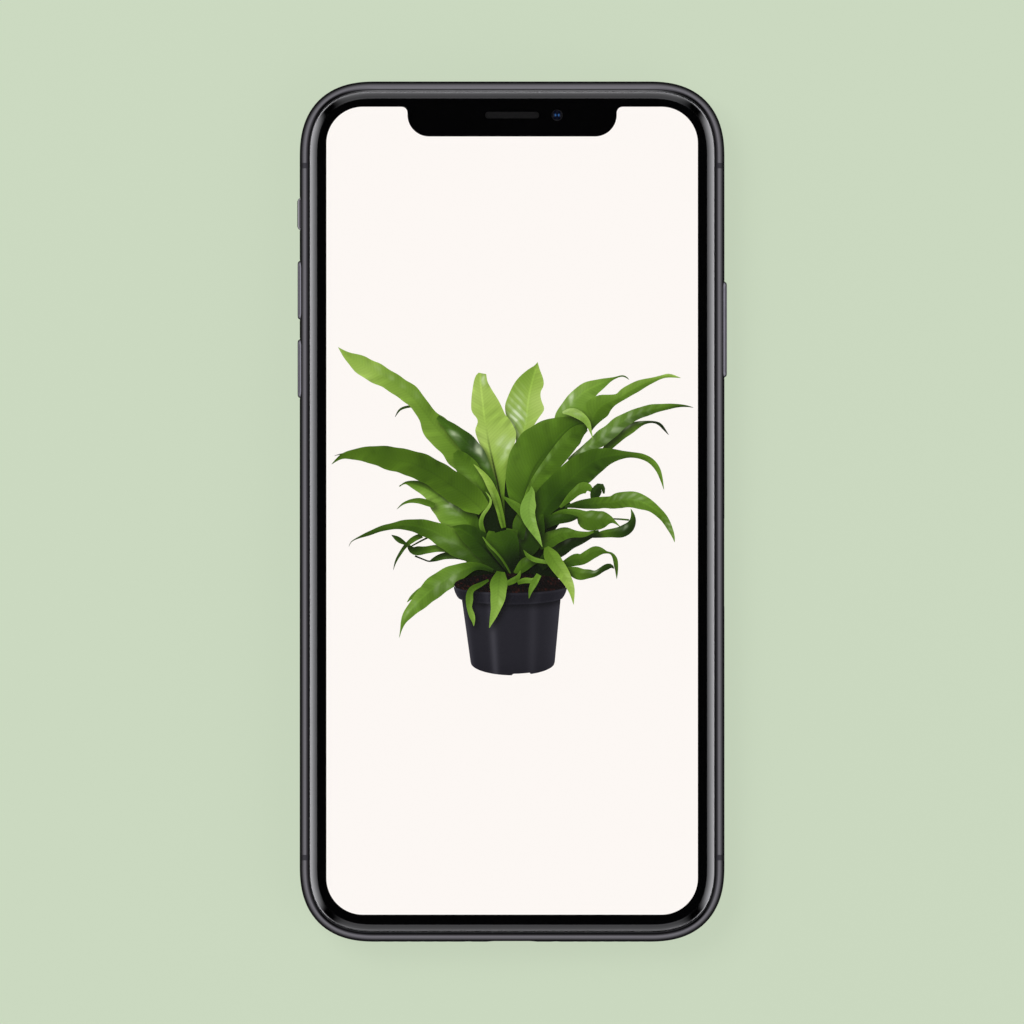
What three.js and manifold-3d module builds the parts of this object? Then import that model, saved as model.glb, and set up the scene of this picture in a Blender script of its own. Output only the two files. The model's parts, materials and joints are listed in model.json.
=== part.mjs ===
// A notched touch-screen phone lying on its back, screen up.
// Millimetres. +Z points out of the screen, +Y to the phone's top end, +X to its right-hand side.
// The origin is under the middle of the phone, at the level of the rear camera's raised face.

import * as THREE from "three";
import { mergeVertices } from "three/addons/utils/BufferGeometryUtils.js";
import Module from "manifold-3d";

const wasm = await Module();
wasm.setup();

// Driving dimensions of the body
const bodyWidth = 70.9;
const bodyLength = 143.6;
const bodyThickness = 7.7;
const bumpHeight = 1.0;
const cornerReach = 12.7; // how far a corner's curve runs along each straight side
const cornerPower = 2.42; // exponent of the corner's superellipse
const cornerSteps = 9;

const halfWidth = bodyWidth / 2;
const halfLength = bodyLength / 2;
const zBack = bumpHeight;
const zFront = bumpHeight + bodyThickness;
const zMid = (zBack + zFront) / 2;
const seam = 0.03; // between pieces that are glued or bolted together
const runningGap = 0.08; // round a piece that slides

// Metal frame, as insets from the outline and heights from its middle
const frameBulge = 1.8;
const frameHalfHeight = 3.35;
const frameLipInset = 1.38;
const lipThickness = 0.08;
const ledgeHeight = 2.61;
const wallInset = 2.3;
const bulgeSteps = 10;

// Plastic splits in the frame that let its antennas work
const insertY = 57.7;
const insertWidth = 0.9;

// Glass, front and back
const glassThickness = 0.7;
const glassInset = 1.65;
const glassFlatInset = 2.94;
const glassRise = 0.55;
const glassSteps = 4;

// Display
const screenHalfWidth = 31.1;
const screenHalfLength = 67.5;
const screenCorner = 6.1;
const panelMargin = 0.35; // of the panel beyond its lit area, under the black border
const notchHalfWidth = 17.4;
const notchFloorY = 62.74;
const notchCorner = 3.6;
const notchFillet = 1.0;
const panelThickness = 0.6;
const shieldThickness = 0.35;

// Earpiece and front camera, in the notch
const earpieceSlot = { y: 66.1, length: 9.06, width: 1.17 };
const frontCameraX = 7.5;

// Side controls: centre along Y, length, height, and how far each stands proud
const buttonHeight = 3;
const controls = {
  side_button: { side: 1, y: 30.4, length: 16.4, proud: 0.4 },
  volume_up_button: { side: -1, y: 36.96, length: 10.25, proud: 0.35 },
  volume_down_button: { side: -1, y: 23.86, length: 10.25, proud: 0.35 },
};
const buttonTravel = 0.3;
const flangeThickness = 0.6;
const flangeOverlap = 0.5; // of a button's flange past its slot, each way
const muteSwitch = { y: 49.66, length: 5.4, height: 1.4, travel: 1.1, proud: 0.4 };

// Card tray, in the right-hand side
const tray = { y: -8.5, length: 14.8, height: 2.0, depth: 18.4, bodyWidth: 13.4, bodyThickness: 1.0 };
const card = { width: 12.3, depth: 8.8, thickness: 0.67 };

// Bottom end: socket, screws and grille
const socket = { width: 8.4, height: 2.8, wall: 0.35, depth: 7.6, tongueWidth: 6.2, tongueHeight: 0.6 };
const screwX = 7.3;
const screwRadius = 0.8;
const grille = { firstX: 10.6, pitch: 2.2, count: 6, radius: 0.62 };

// Rear camera, seen from behind at the upper left
const bump = { x: 24.35, y: 53.4, width: 13, length: 27.5, wall: 0.8, ledge: 0.5 };
const lensOffsetY = 6.6;
const lensRadius = 4.1;
const flash = { y: 34.6, radius: 2.4 };

// Pieces inside
const plateThickness = 0.4;
const plateTop = zBack + glassThickness + 0.05 + plateThickness;
const coil = { y: -4, outer: 22, inner: 11, thickness: 0.35 };
const boardBottom = plateTop + 0.45;
const boardThickness = 0.8;

const finishes = {
  metal: { color: 0x55555b, roughness: 0.25, metalness: 1 },
  steel: { color: 0x9a9a9c, roughness: 0.4, metalness: 1 },
  frontGlass: { color: 0x050506, roughness: 0.05, metalness: 0 },
  backGlass: { color: 0x2c2d30, roughness: 0.35, metalness: 0 },
  lensGlass: { color: 0x08080c, roughness: 0.03, metalness: 0 },
  diffuser: { color: 0xf2ead2, roughness: 0.4, metalness: 0 },
  lit: { color: 0xfdf8f4, roughness: 0.5, metalness: 0 },
  blackPlastic: { color: 0x17171a, roughness: 0.5, metalness: 0 },
  splitPlastic: { color: 0x36363b, roughness: 0.45, metalness: 0 },
  mesh: { color: 0x1c1c1c, roughness: 0.8, metalness: 0 },
  cell: { color: 0x111113, roughness: 0.55, metalness: 0 },
  board: { color: 0x12301f, roughness: 0.5, metalness: 0 },
  copper: { color: 0xb4693c, roughness: 0.35, metalness: 1 },
  cardPlastic: { color: 0xdedad0, roughness: 0.5, metalness: 0 },
};

const phone = new THREE.Group();

// Turns a closed geometry into a solid for joining and cutting.
function solid(geometry) {
  const bare = geometry.clone();
  bare.deleteAttribute("normal");
  bare.deleteAttribute("uv");
  const merged = mergeVertices(bare, 1e-4);
  return new wasm.Manifold(
    new wasm.Mesh({
      numProp: 3,
      vertProperties: new Float32Array(merged.attributes.position.array),
      triVerts: new Uint32Array(merged.index.array),
    }),
  );
}

function geometryOf(made) {
  const mesh = made.getMesh();
  const geometry = new THREE.BufferGeometry();
  geometry.setAttribute("position", new THREE.BufferAttribute(mesh.vertProperties, 3));
  geometry.setIndex(new THREE.BufferAttribute(mesh.triVerts, 1));
  geometry.computeVertexNormals();
  return geometry;
}

function add(name, shape, finish) {
  const geometry = shape.isBufferGeometry ? shape : geometryOf(shape);
  const mesh = new THREE.Mesh(geometry, new THREE.MeshStandardMaterial(finishes[finish]));
  mesh.name = name;
  phone.add(mesh);
}

// The phone's outline seen from the screen, counter-clockwise, moved inwards by inset.
function outline(inset) {
  const points = [];
  for (let corner = 0; corner < 4; corner++) {
    const turn = (corner * Math.PI) / 2;
    const centre = new THREE.Vector2(
      (corner === 0 || corner === 3 ? 1 : -1) * (halfWidth - cornerReach),
      (corner < 2 ? 1 : -1) * (halfLength - cornerReach),
    );
    for (let step = 0; step <= cornerSteps; step++) {
      const t = (step / cornerSteps) * (Math.PI / 2);
      const u = Math.max(Math.cos(t), 0) ** (2 / cornerPower);
      const v = Math.max(Math.sin(t), 0) ** (2 / cornerPower);
      const outward = new THREE.Vector2(u ** (cornerPower - 1), v ** (cornerPower - 1)).normalize();
      const point = new THREE.Vector2(u, v).multiplyScalar(cornerReach).addScaledVector(outward, -inset);
      points.push(point.rotateAround(new THREE.Vector2(), turn).add(centre));
    }
  }
  return points;
}

// A solid whose rings follow the outline. Each ring is [inset, z], up the outside first.
// An open stack is closed by a flat face at each end, and a closed section makes a band.
function ringSolid(rings, band = false) {
  const loops = rings.map(([inset]) => outline(inset));
  const count = loops[0].length;
  const positions = loops.flatMap((loop, i) => loop.flatMap((p) => [p.x, p.y, rings[i][1]]));
  const faces = [];
  const bands = band ? rings.length : rings.length - 1;
  for (let i = 0; i < bands; i++) {
    const next = (i + 1) % rings.length;
    for (let j = 0; j < count; j++) {
      const k = (j + 1) % count;
      const a = i * count + j;
      const b = i * count + k;
      const c = next * count + k;
      const d = next * count + j;
      faces.push(a, b, c, a, c, d);
    }
  }
  if (!band) {
    const top = (rings.length - 1) * count;
    for (const [a, b, c] of THREE.ShapeUtils.triangulateShape(loops[0], [])) faces.push(a, c, b);
    for (const [a, b, c] of THREE.ShapeUtils.triangulateShape(loops.at(-1), [])) {
      faces.push(top + a, top + b, top + c);
    }
  }
  const geometry = new THREE.BufferGeometry();
  geometry.setAttribute("position", new THREE.Float32BufferAttribute(positions, 3));
  geometry.setIndex(faces);
  geometry.computeVertexNormals();
  return geometry;
}

function box(x0, x1, y0, y1, z0, z1) {
  const geometry = new THREE.BoxGeometry(x1 - x0, y1 - y0, z1 - z0);
  return geometry.translate((x0 + x1) / 2, (y0 + y1) / 2, (z0 + z1) / 2);
}

function roundedRectangle(width, height, radius) {
  const w = width / 2;
  const h = height / 2;
  const shape = new THREE.Shape();
  shape.absarc(w - radius, h - radius, radius, 0, Math.PI / 2);
  shape.absarc(-w + radius, h - radius, radius, Math.PI / 2, Math.PI);
  shape.absarc(-w + radius, -h + radius, radius, Math.PI, 1.5 * Math.PI);
  shape.absarc(w - radius, -h + radius, radius, 1.5 * Math.PI, 2 * Math.PI);
  shape.closePath();
  return shape;
}

// A slot with round ends that is as long as it says over its ends.
function pill(length, width) {
  return roundedRectangle(length, width, Math.min(length, width) / 2 - 1e-3);
}

function extruded(shape, depth, curveSegments = 4) {
  return new THREE.ExtrudeGeometry(shape, { depth, bevelEnabled: false, curveSegments });
}

// A flat piece with rounded corners, from z0 to z1.
function block(x0, x1, y0, y1, z0, z1, radius = 0.8) {
  const geometry = extruded(roundedRectangle(x1 - x0, y1 - y0, radius), z1 - z0, 3);
  return geometry.translate((x0 + x1) / 2, (y0 + y1) / 2, z0);
}

function disc(x, y, radius, z0, z1, sides = 24) {
  const geometry = new THREE.CylinderGeometry(radius, radius, z1 - z0, sides);
  return geometry.rotateX(Math.PI / 2).translate(x, y, (z0 + z1) / 2);
}

// A prism through a side wall: the shape's x runs along the phone and its y up, and it
// spans x0 to x1 across the phone.
function acrossPhone(shape, y, z, x0, x1, segments = 5) {
  const geometry = extruded(shape, x1 - x0, segments);
  geometry.applyMatrix4(
    new THREE.Matrix4().makeBasis(
      new THREE.Vector3(0, 1, 0),
      new THREE.Vector3(0, 0, 1),
      new THREE.Vector3(1, 0, 0),
    ),
  );
  return geometry.translate(x0, y, z);
}

// A prism through an end wall: the shape's x runs across the phone and its y up, and it
// spans y0 to y1 along the phone.
function alongPhone(shape, x, z, y0, y1, segments = 5) {
  const geometry = extruded(shape, y1 - y0, segments);
  geometry.rotateX(Math.PI / 2);
  return geometry.translate(x, y1, z);
}

function cut(shape, ...cutters) {
  let made = shape.isBufferGeometry ? solid(shape) : shape;
  for (const cutter of cutters) made = made.subtract(solid(cutter));
  return made;
}

function join(...geometries) {
  return geometries.map(solid).reduce((whole, next) => whole.add(next));
}

// The same span of X on either side: side is 1 for the right and -1 for the left.
function span(side, a, b) {
  return side > 0 ? [a, b] : [-b, -a];
}

// The frame's section, up its bulging outside and down its stepped inside
function frameSection() {
  const end = Math.acos(1 - frameLipInset / frameBulge);
  const section = [];
  for (let i = 0; i <= bulgeSteps; i++) {
    const angle = -end + (2 * end * i) / bulgeSteps;
    section.push([frameBulge * (1 - Math.cos(angle)), zMid + frameHalfHeight * Math.sin(angle)]);
  }
  const lip = frameLipInset + lipThickness;
  const lipTop = section.at(-1)[1];
  const lipBottom = section[0][1];
  section.push([lip, lipTop], [lip, zMid + ledgeHeight], [wallInset, zMid + ledgeHeight]);
  section.push([wallInset, zMid - ledgeHeight], [lip, zMid - ledgeHeight], [lip, lipBottom]);
  return section;
}

function buildFrame() {
  const band = solid(ringSolid(frameSection(), true));
  const far = halfLength + 5;
  const wide = halfWidth + 5;
  const innerEdge = insertY - insertWidth / 2;
  const outerEdge = insertY + insertWidth / 2;
  const part = (x0, x1, y0, y1) => band.intersect(solid(box(x0, x1, y0, y1, -1, zFront + 1)));

  const slots = { 1: [], "-1": [] };
  for (const { side, y, length } of Object.values(controls)) {
    const shape = pill(length + 2 * runningGap, buttonHeight + 2 * runningGap);
    slots[side].push(acrossPhone(shape, y, zMid, ...span(side, halfWidth - 3, halfWidth + 2)));
  }
  const muteSlot = roundedRectangle(
    muteSwitch.length + 2 * runningGap,
    muteSwitch.height + muteSwitch.travel + 2 * runningGap,
    0.7,
  );
  slots[-1].push(acrossPhone(muteSlot, muteSwitch.y, zMid, ...span(-1, halfWidth - 3, halfWidth + 2)));
  const traySlot = pill(tray.length + 2 * runningGap, tray.height + 2 * runningGap);
  slots[1].push(acrossPhone(traySlot, tray.y, zMid, ...span(1, halfWidth - 3, halfWidth + 2)));

  add("frame_left", cut(part(-wide, 0, -innerEdge, innerEdge), ...slots[-1]), "metal");
  add("frame_right", cut(part(0, wide, -innerEdge, innerEdge), ...slots[1]), "metal");
  add("frame_top", part(-wide, wide, outerEdge, far), "metal");

  const socketHole = pill(socket.width + 2 * seam, socket.height + 2 * seam);
  const endHoles = [alongPhone(socketHole, 0, zMid, -halfLength - 2, -halfLength + 3)];
  const endHole = (x, radius, sides) =>
    new THREE.CylinderGeometry(radius, radius, 5, sides).translate(x, -halfLength + 1, zMid);
  for (const side of [-1, 1]) {
    endHoles.push(endHole(side * screwX, screwRadius + seam, 12));
    for (let i = 0; i < grille.count; i++) {
      endHoles.push(endHole(side * (grille.firstX + i * grille.pitch), grille.radius, 10));
    }
  }
  add("frame_bottom", cut(part(-wide, wide, -far, -outerEdge), ...endHoles), "metal");

  const slim = 0.02; // keeps each insert just clear of the metal that it joins
  for (const [end, high] of [["upper", 1], ["lower", -1]]) {
    for (const [name, side] of [["left", -1], ["right", 1]]) {
      const [x0, x1] = span(side, 0, wide);
      const [y0, y1] = span(high, innerEdge + slim, outerEdge - slim);
      add(`antenna_insert_${end}_${name}`, part(x0, x1, y0, y1), "splitPlastic");
    }
  }
}

// A sheet of glass with its outer edge rounded over, stacked from its flat inner face.
function glassRings(innerZ, outward) {
  const edgeZ = innerZ + outward * (glassThickness - glassRise);
  const rings = [[glassInset, innerZ], [glassInset, edgeZ]];
  for (let i = 1; i <= glassSteps; i++) {
    const angle = (i / glassSteps) * (Math.PI / 2);
    rings.push([
      glassInset + (glassFlatInset - glassInset) * (1 - Math.cos(angle)),
      edgeZ + outward * glassRise * Math.sin(angle),
    ]);
  }
  return outward > 0 ? rings : rings.reverse();
}

// The lit area of the screen, grown by margin, with the notch in its top edge.
function screenShape(margin) {
  const w = screenHalfWidth + margin;
  const h = screenHalfLength + margin;
  const r = screenCorner + margin;
  const notchW = notchHalfWidth - margin;
  const floor = notchFloorY + margin;
  const corner = notchCorner - margin;
  const fillet = notchFillet;
  const quarter = Math.PI / 2;
  const shape = new THREE.Shape();
  shape.absarc(w - r, h - r, r, 0, quarter);
  shape.absarc(notchW + fillet, h - fillet, fillet, quarter, 2 * quarter);
  shape.absarc(notchW - corner, floor + corner, corner, 0, -quarter, true);
  shape.absarc(-notchW + corner, floor + corner, corner, -quarter, -2 * quarter, true);
  shape.absarc(-notchW - fillet, h - fillet, fillet, 0, quarter);
  shape.absarc(-w + r, h - r, r, quarter, 2 * quarter);
  shape.absarc(-w + r, -h + r, r, 2 * quarter, 3 * quarter);
  shape.absarc(w - r, -h + r, r, 3 * quarter, 4 * quarter);
  shape.closePath();
  return shape;
}

function buildFront() {
  const glassBottom = zFront - glassThickness;
  const slot = pill(earpieceSlot.length, earpieceSlot.width);
  const slotCutter = extruded(slot, 3, 5).translate(0, earpieceSlot.y, glassBottom - 1);
  add("cover_glass", cut(ringSolid(glassRings(glassBottom, 1)), slotCutter), "frontGlass");

  const gasketTop = glassBottom - 0.04;
  const gasketBottom = zMid + ledgeHeight + seam;
  const gasketOuter = frameLipInset + lipThickness + seam;
  const gasketInner = 3.2;
  const gasket = [
    [gasketOuter, gasketBottom],
    [gasketOuter, gasketTop],
    [gasketInner, gasketTop],
    [gasketInner, gasketBottom],
  ];
  add("front_gasket", ringSolid(gasket, true), "blackPlastic");

  const panelTop = glassBottom - 0.05;
  const panelBottom = panelTop - panelThickness;
  add("display_panel", extruded(screenShape(panelMargin), panelThickness, 5).translate(0, 0, panelBottom), "lit");
  const shieldBottom = panelBottom - 0.05 - shieldThickness;
  add("display_shield", extruded(screenShape(0), shieldThickness, 4).translate(0, 0, shieldBottom), "steel");

  const mesh = pill(earpieceSlot.length - 0.1, earpieceSlot.width - 0.1);
  const meshBottom = glassBottom - 0.4;
  add("earpiece_mesh", extruded(mesh, 0.9, 5).translate(0, earpieceSlot.y, meshBottom), "mesh");
  const moduleTop = glassBottom - 0.1;
  const moduleBottom = 4.6;
  const rowBottom = notchFloorY + 0.6;
  const rowTop = earpieceSlot.y + 2.1;
  add("earpiece_speaker", block(-5.9, 4.7, rowBottom, rowTop, moduleBottom, meshBottom - seam), "blackPlastic");
  const cameraY = earpieceSlot.y;
  const cameraBody = block(frontCameraX - 2.4, frontCameraX + 2.4, rowBottom, rowTop, moduleBottom, 7.2, 0.5);
  const cameraBarrel = disc(frontCameraX, cameraY, 1.6, 7.1, moduleTop, 20);
  add("front_camera", join(cameraBody, cameraBarrel), "blackPlastic");
  add("proximity_sensor", block(10.4, 14.6, rowBottom, rowTop, moduleBottom, moduleTop), "blackPlastic");
  add("depth_sensor", block(-14.6, -6.4, rowBottom, rowTop, moduleBottom, moduleTop), "blackPlastic");
}

function buildBack() {
  const glassInner = zBack + glassThickness;
  const bumpShape = pill(bump.length, bump.width);
  const bumpHole = (grow, depth, z0) =>
    extruded(pill(bump.length + grow, bump.width + grow), depth, 6)
      .rotateZ(Math.PI / 2)
      .translate(bump.x, bump.y, z0);
  const flashHole = disc(bump.x, flash.y, flash.radius + 0.05, 0, 3, 20);
  add(
    "back_glass",
    cut(ringSolid(glassRings(glassInner, -1)), bumpHole(0.1, 3, 0), flashHole),
    "backGlass",
  );

  const lip = frameLipInset + lipThickness + seam;
  const beadTop = glassInner + 0.02;
  const bead = [
    [lip, beadTop - 0.2],
    [lip, beadTop],
    [glassInset - seam, beadTop],
    [glassInset - seam, beadTop - 0.2],
  ];
  add("back_gasket", ringSolid(bead, true), "blackPlastic");

  const plateBottom = plateTop - plateThickness;
  const passage = -2 * (bump.wall + bump.ledge);
  const post = (x, y) => disc(x, y, 1.2, plateTop - 0.1, boardBottom - seam, 12);
  const plate = cut(
    ringSolid([[lip, plateBottom], [lip, plateTop]]),
    bumpHole(passage, 3, 1),
    disc(0, coil.y, coil.outer + 0.4, 0, 4, 32),
    disc(bump.x, flash.y, flash.radius - 0.6, 0, 4, 16),
  );
  const posts = [[27.5, 30], [27.5, -16], [25.8, 8]].map(([x, y]) => solid(post(x, y)));
  add("back_plate", posts.reduce((whole, next) => whole.add(next), plate), "steel");

  const coilRing = cut(
    disc(0, coil.y, coil.outer, plateBottom, plateBottom + coil.thickness, 32),
    disc(0, coil.y, coil.inner, 0, 4, 32),
  );
  add("charging_coil", coilRing, "copper");

  const windowTop = 0.8;
  const outer = extruded(bumpShape, plateBottom - seam, 6).rotateZ(Math.PI / 2).translate(bump.x, bump.y, 0);
  const recess = bumpHole(-2 * bump.wall, windowTop + 1, -1);
  add("camera_bump", cut(outer, recess, bumpHole(passage, 4, -1)), "metal");
  const windowGap = -2 * (bump.wall + seam);
  add("camera_window", bumpHole(windowGap, windowTop - 0.2, 0.15), "lensGlass");
  for (const [name, high] of [["rear_camera_upper", 1], ["rear_camera_lower", -1]]) {
    const y = bump.y + high * lensOffsetY;
    const body = block(bump.x - 5.5, bump.x + 5.5, y - 5.5, y + 5.5, plateTop + 0.1, 6.8, 0.8);
    add(name, join(body, disc(bump.x, y, lensRadius, windowTop + 0.1, plateTop + 0.2, 24)), "blackPlastic");
  }
  add("flash_window", disc(bump.x, flash.y, flash.radius, zBack + 0.02, plateBottom - seam, 20), "diffuser");
  const ledTop = plateTop + 0.35;
  const ledBase = disc(bump.x, flash.y, flash.radius - 0.7, plateBottom, plateTop + 0.1, 16);
  const ledBody = block(bump.x - 2.2, bump.x + 2.2, flash.y - 2.2, flash.y + 2.2, plateTop + seam, ledTop, 0.3);
  add("flash_led", join(ledBase, ledBody), "diffuser");
}

// A button is one piece: its cap outside, its stem in the slot and its flange behind the wall.
function buildControls() {
  const flangeStart = halfWidth - wallInset - 0.05;
  const flangeEnd = flangeStart - flangeThickness;
  const bevel = 0.12;
  for (const [name, { side, y, length, proud }] of Object.entries(controls)) {
    const stem = new THREE.ExtrudeGeometry(pill(length - 2 * bevel, buttonHeight - 2 * bevel), {
      depth: halfWidth + proud - bevel - flangeStart + 0.2,
      bevelThickness: bevel,
      bevelSize: bevel,
      bevelSegments: 2,
      curveSegments: 5,
    });
    const toSide = new THREE.Matrix4().makeBasis(
      new THREE.Vector3(0, 1, 0),
      new THREE.Vector3(0, 0, side),
      new THREE.Vector3(side, 0, 0),
    );
    stem.applyMatrix4(toSide).translate(side * (flangeStart - 0.2), y, zMid);
    const grow = 2 * flangeOverlap;
    const flange = acrossPhone(
      pill(length + grow, buttonHeight + grow),
      y,
      zMid,
      ...span(side, flangeEnd, flangeStart),
    );
    add(name, join(stem, flange), "metal");
  }

  const switchZ = zMid + muteSwitch.travel / 2;
  const toggle = acrossPhone(
    roundedRectangle(muteSwitch.length, muteSwitch.height, 0.6),
    muteSwitch.y,
    switchZ,
    ...span(-1, flangeStart - 0.1, halfWidth + muteSwitch.proud),
    3,
  );
  const shutterHeight = muteSwitch.height + 2 * muteSwitch.travel + 0.4;
  const shutter = acrossPhone(
    roundedRectangle(muteSwitch.length + 1.2, shutterHeight, 0.4),
    muteSwitch.y,
    switchZ,
    ...span(-1, flangeStart - 0.4, flangeStart),
    2,
  );
  add("mute_switch", join(toggle, shutter), "metal");
}

// A bracket behind the buttons: a bar with feet that reach the frame's inner wall, and a
// contact pad that each button presses.
function bracket(side, y0, y1, barNear, feet) {
  const barFar = barNear - 0.6;
  const halfHeight = 1.3;
  const pieces = [box(...span(side, barFar, barNear), y0, y1, zMid - halfHeight, zMid + halfHeight)];
  for (const [f0, f1] of feet) {
    const reach = span(side, barNear - 0.1, halfWidth - wallInset - seam);
    pieces.push(box(...reach, f0, f1, zMid - halfHeight, zMid + halfHeight));
  }
  return join(...pieces);
}

function buildBrackets() {
  const barNear = halfWidth - wallInset - 0.05 - flangeThickness - buttonTravel - seam;
  const foot = 0.8;
  const clear = 0.25;
  const half = (control) => control.length / 2 + flangeOverlap + clear;
  const { side_button: power, volume_up_button: up, volume_down_button: down } = controls;
  const powerFeet = [
    [power.y - half(power) - foot, power.y - half(power)],
    [power.y + half(power), power.y + half(power) + foot],
  ];
  add("side_button_bracket", bracket(1, powerFeet[0][0], powerFeet[1][1], barNear, powerFeet), "steel");
  const volumeFeet = [
    [down.y - half(down) - foot, down.y - half(down)],
    [down.y + half(down), up.y - half(up)],
    [up.y + half(up), up.y + half(up) + foot],
  ];
  add("volume_bracket", bracket(-1, volumeFeet[0][0], volumeFeet[2][1], barNear, volumeFeet), "steel");
  const muteHalf = muteSwitch.length / 2 + 0.6 + clear;
  const muteFeet = [
    [muteSwitch.y - muteHalf - foot, muteSwitch.y - muteHalf],
    [muteSwitch.y + muteHalf, muteSwitch.y + muteHalf + foot],
  ];
  const muteNear = halfWidth - wallInset - 0.05 - 0.4 - runningGap;
  add("mute_switch_bracket", bracket(-1, muteFeet[0][0], muteFeet[1][1], muteNear, muteFeet), "steel");
}

function buildCardTray() {
  const headBack = halfWidth - 1.2;
  const outer = solid(ringSolid(frameSection().slice(0, bulgeSteps + 1).map(([inset, z]) => [inset + 0.03, z])));
  const head = solid(acrossPhone(pill(tray.length, tray.height), tray.y, zMid, headBack, halfWidth + 1));
  const inner = halfWidth - tray.depth;
  const half = tray.bodyThickness / 2;
  const y0 = tray.y - tray.bodyWidth / 2;
  const y1 = tray.y + tray.bodyWidth / 2;
  const body = solid(block(inner, headBack + 0.2, y0, y1, zMid - half, zMid + half, 0.6));
  const pocketX = inner + 1.2;
  const pocket = box(
    pocketX,
    pocketX + card.depth + 0.2,
    tray.y - card.width / 2 - 0.1,
    tray.y + card.width / 2 + 0.1,
    zMid + half - card.thickness - 0.05,
    zMid + half + 1,
  );
  const pinHole = new THREE.CylinderGeometry(0.4, 0.4, 4, 8)
    .rotateZ(Math.PI / 2)
    .translate(halfWidth, tray.y + 5.6, zMid);
  add("sim_tray", cut(head.intersect(outer).add(body), pocket, pinHole), "metal");
  const cardZ = zMid + half - card.thickness;
  add(
    "sim_card",
    block(
      pocketX + 0.1,
      pocketX + 0.1 + card.depth,
      tray.y - card.width / 2,
      tray.y + card.width / 2,
      cardZ,
      cardZ + card.thickness - 0.02,
      0.8,
    ),
    "cardPlastic",
  );

  const boardTop = boardBottom + boardThickness;
  const channel = box(inner - 0.3, halfWidth, y0 - 0.15, y1 + 0.15, zMid - half - 0.15, zMid + half + 0.15);
  const cage = box(inner - 0.8, halfWidth - wallInset - 0.4, y0 - 0.6, y1 + 0.6, boardTop + seam, zMid + half + 0.45);
  add("sim_reader", cut(cage, channel), "steel");
}

function buildBoards() {
  const boardTop = boardBottom + boardThickness;
  add("logic_board", block(8.5, 30.6, -19, 33, boardBottom, boardTop, 1.2), "board");
  add("board_shield", block(10, 29.4, 0.5, 31.5, boardTop + seam, boardTop + 1.8, 0.8), "steel");
  const cellBottom = plateTop + seam;
  const cellTop = cellBottom + 4.1;
  add("battery_cell_upper", block(-29.6, 7.4, -19.4, 54.5, cellBottom, cellTop, 1.6), "cell");
  add("battery_cell_lower", block(-29.6, 30.2, -50.5, -20.4, cellBottom, cellTop, 1.6), "cell");
}

function buildBottomEnd() {
  const wall = -halfLength + wallInset;
  const outerPill = pill(socket.width, socket.height);
  const innerPill = pill(socket.width - 2 * socket.wall, socket.height - 2 * socket.wall);
  const mouth = -halfLength + 0.3;
  const rear = mouth + socket.depth;
  const shell = alongPhone(outerPill, 0, zMid, mouth, rear, 6);
  const hollow = alongPhone(innerPill, 0, zMid, mouth - 1, rear - 0.6, 6);
  const tongueWidth = socket.tongueWidth / 2;
  const tongueHeight = socket.tongueHeight / 2;
  const tongue = box(-tongueWidth, tongueWidth, mouth + 0.8, rear - 0.3, zMid - tongueHeight, zMid + tongueHeight);
  add("charging_socket", cut(shell, hollow).add(solid(tongue)), "steel");
  const boardTop = zMid - socket.height / 2 - seam;
  add("socket_board", block(-7.2, 7.2, wall + 0.3, -51.5, plateTop + seam, boardTop, 0.8), "board");

  for (const [name, side] of [["left", -1], ["right", 1]]) {
    const shank = new THREE.CylinderGeometry(screwRadius, screwRadius, 3.4, 12);
    shank.translate(side * screwX, -halfLength + 0.15 + 1.7, zMid);
    const slotDepth = 0.35;
    const slots = [0, Math.PI / 2].map((turn) =>
      new THREE.BoxGeometry(1.1, 2 * slotDepth, 0.26)
        .rotateY(turn)
        .translate(side * screwX, -halfLength + 0.15, zMid),
    );
    add(`bottom_screw_${name}`, cut(shank, ...slots), "steel");
    const [x0, x1] = span(side, grille.firstX - 1.1, grille.firstX + (grille.count - 1) * grille.pitch + 1.1);
    add(`grille_mesh_${name}`, box(x0, x1, wall + seam, wall + 0.3, zMid - 1.3, zMid + 1.3), "mesh");
  }
  const moduleBottom = plateTop + seam;
  const moduleCorner = 5; // follows the frame's inside corner
  add("vibration_motor", block(-28.8, -9, wall + 0.35, -51.5, moduleBottom, 6.6, moduleCorner), "steel");
  add("loudspeaker", block(9, 28.8, wall + 0.35, -51.5, moduleBottom, 6.6, moduleCorner), "blackPlastic");
}

buildFrame();
buildFront();
buildBack();
buildControls();
buildBrackets();
buildCardTray();
buildBoards();
buildBottomEnd();

export default phone;
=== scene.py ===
# A notched touch-screen phone on its back, screen up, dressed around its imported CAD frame.
# Shapes are modelled in millimetres in the frame's axes, and each finished piece is scaled to metres.

import json
import math
import random

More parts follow.
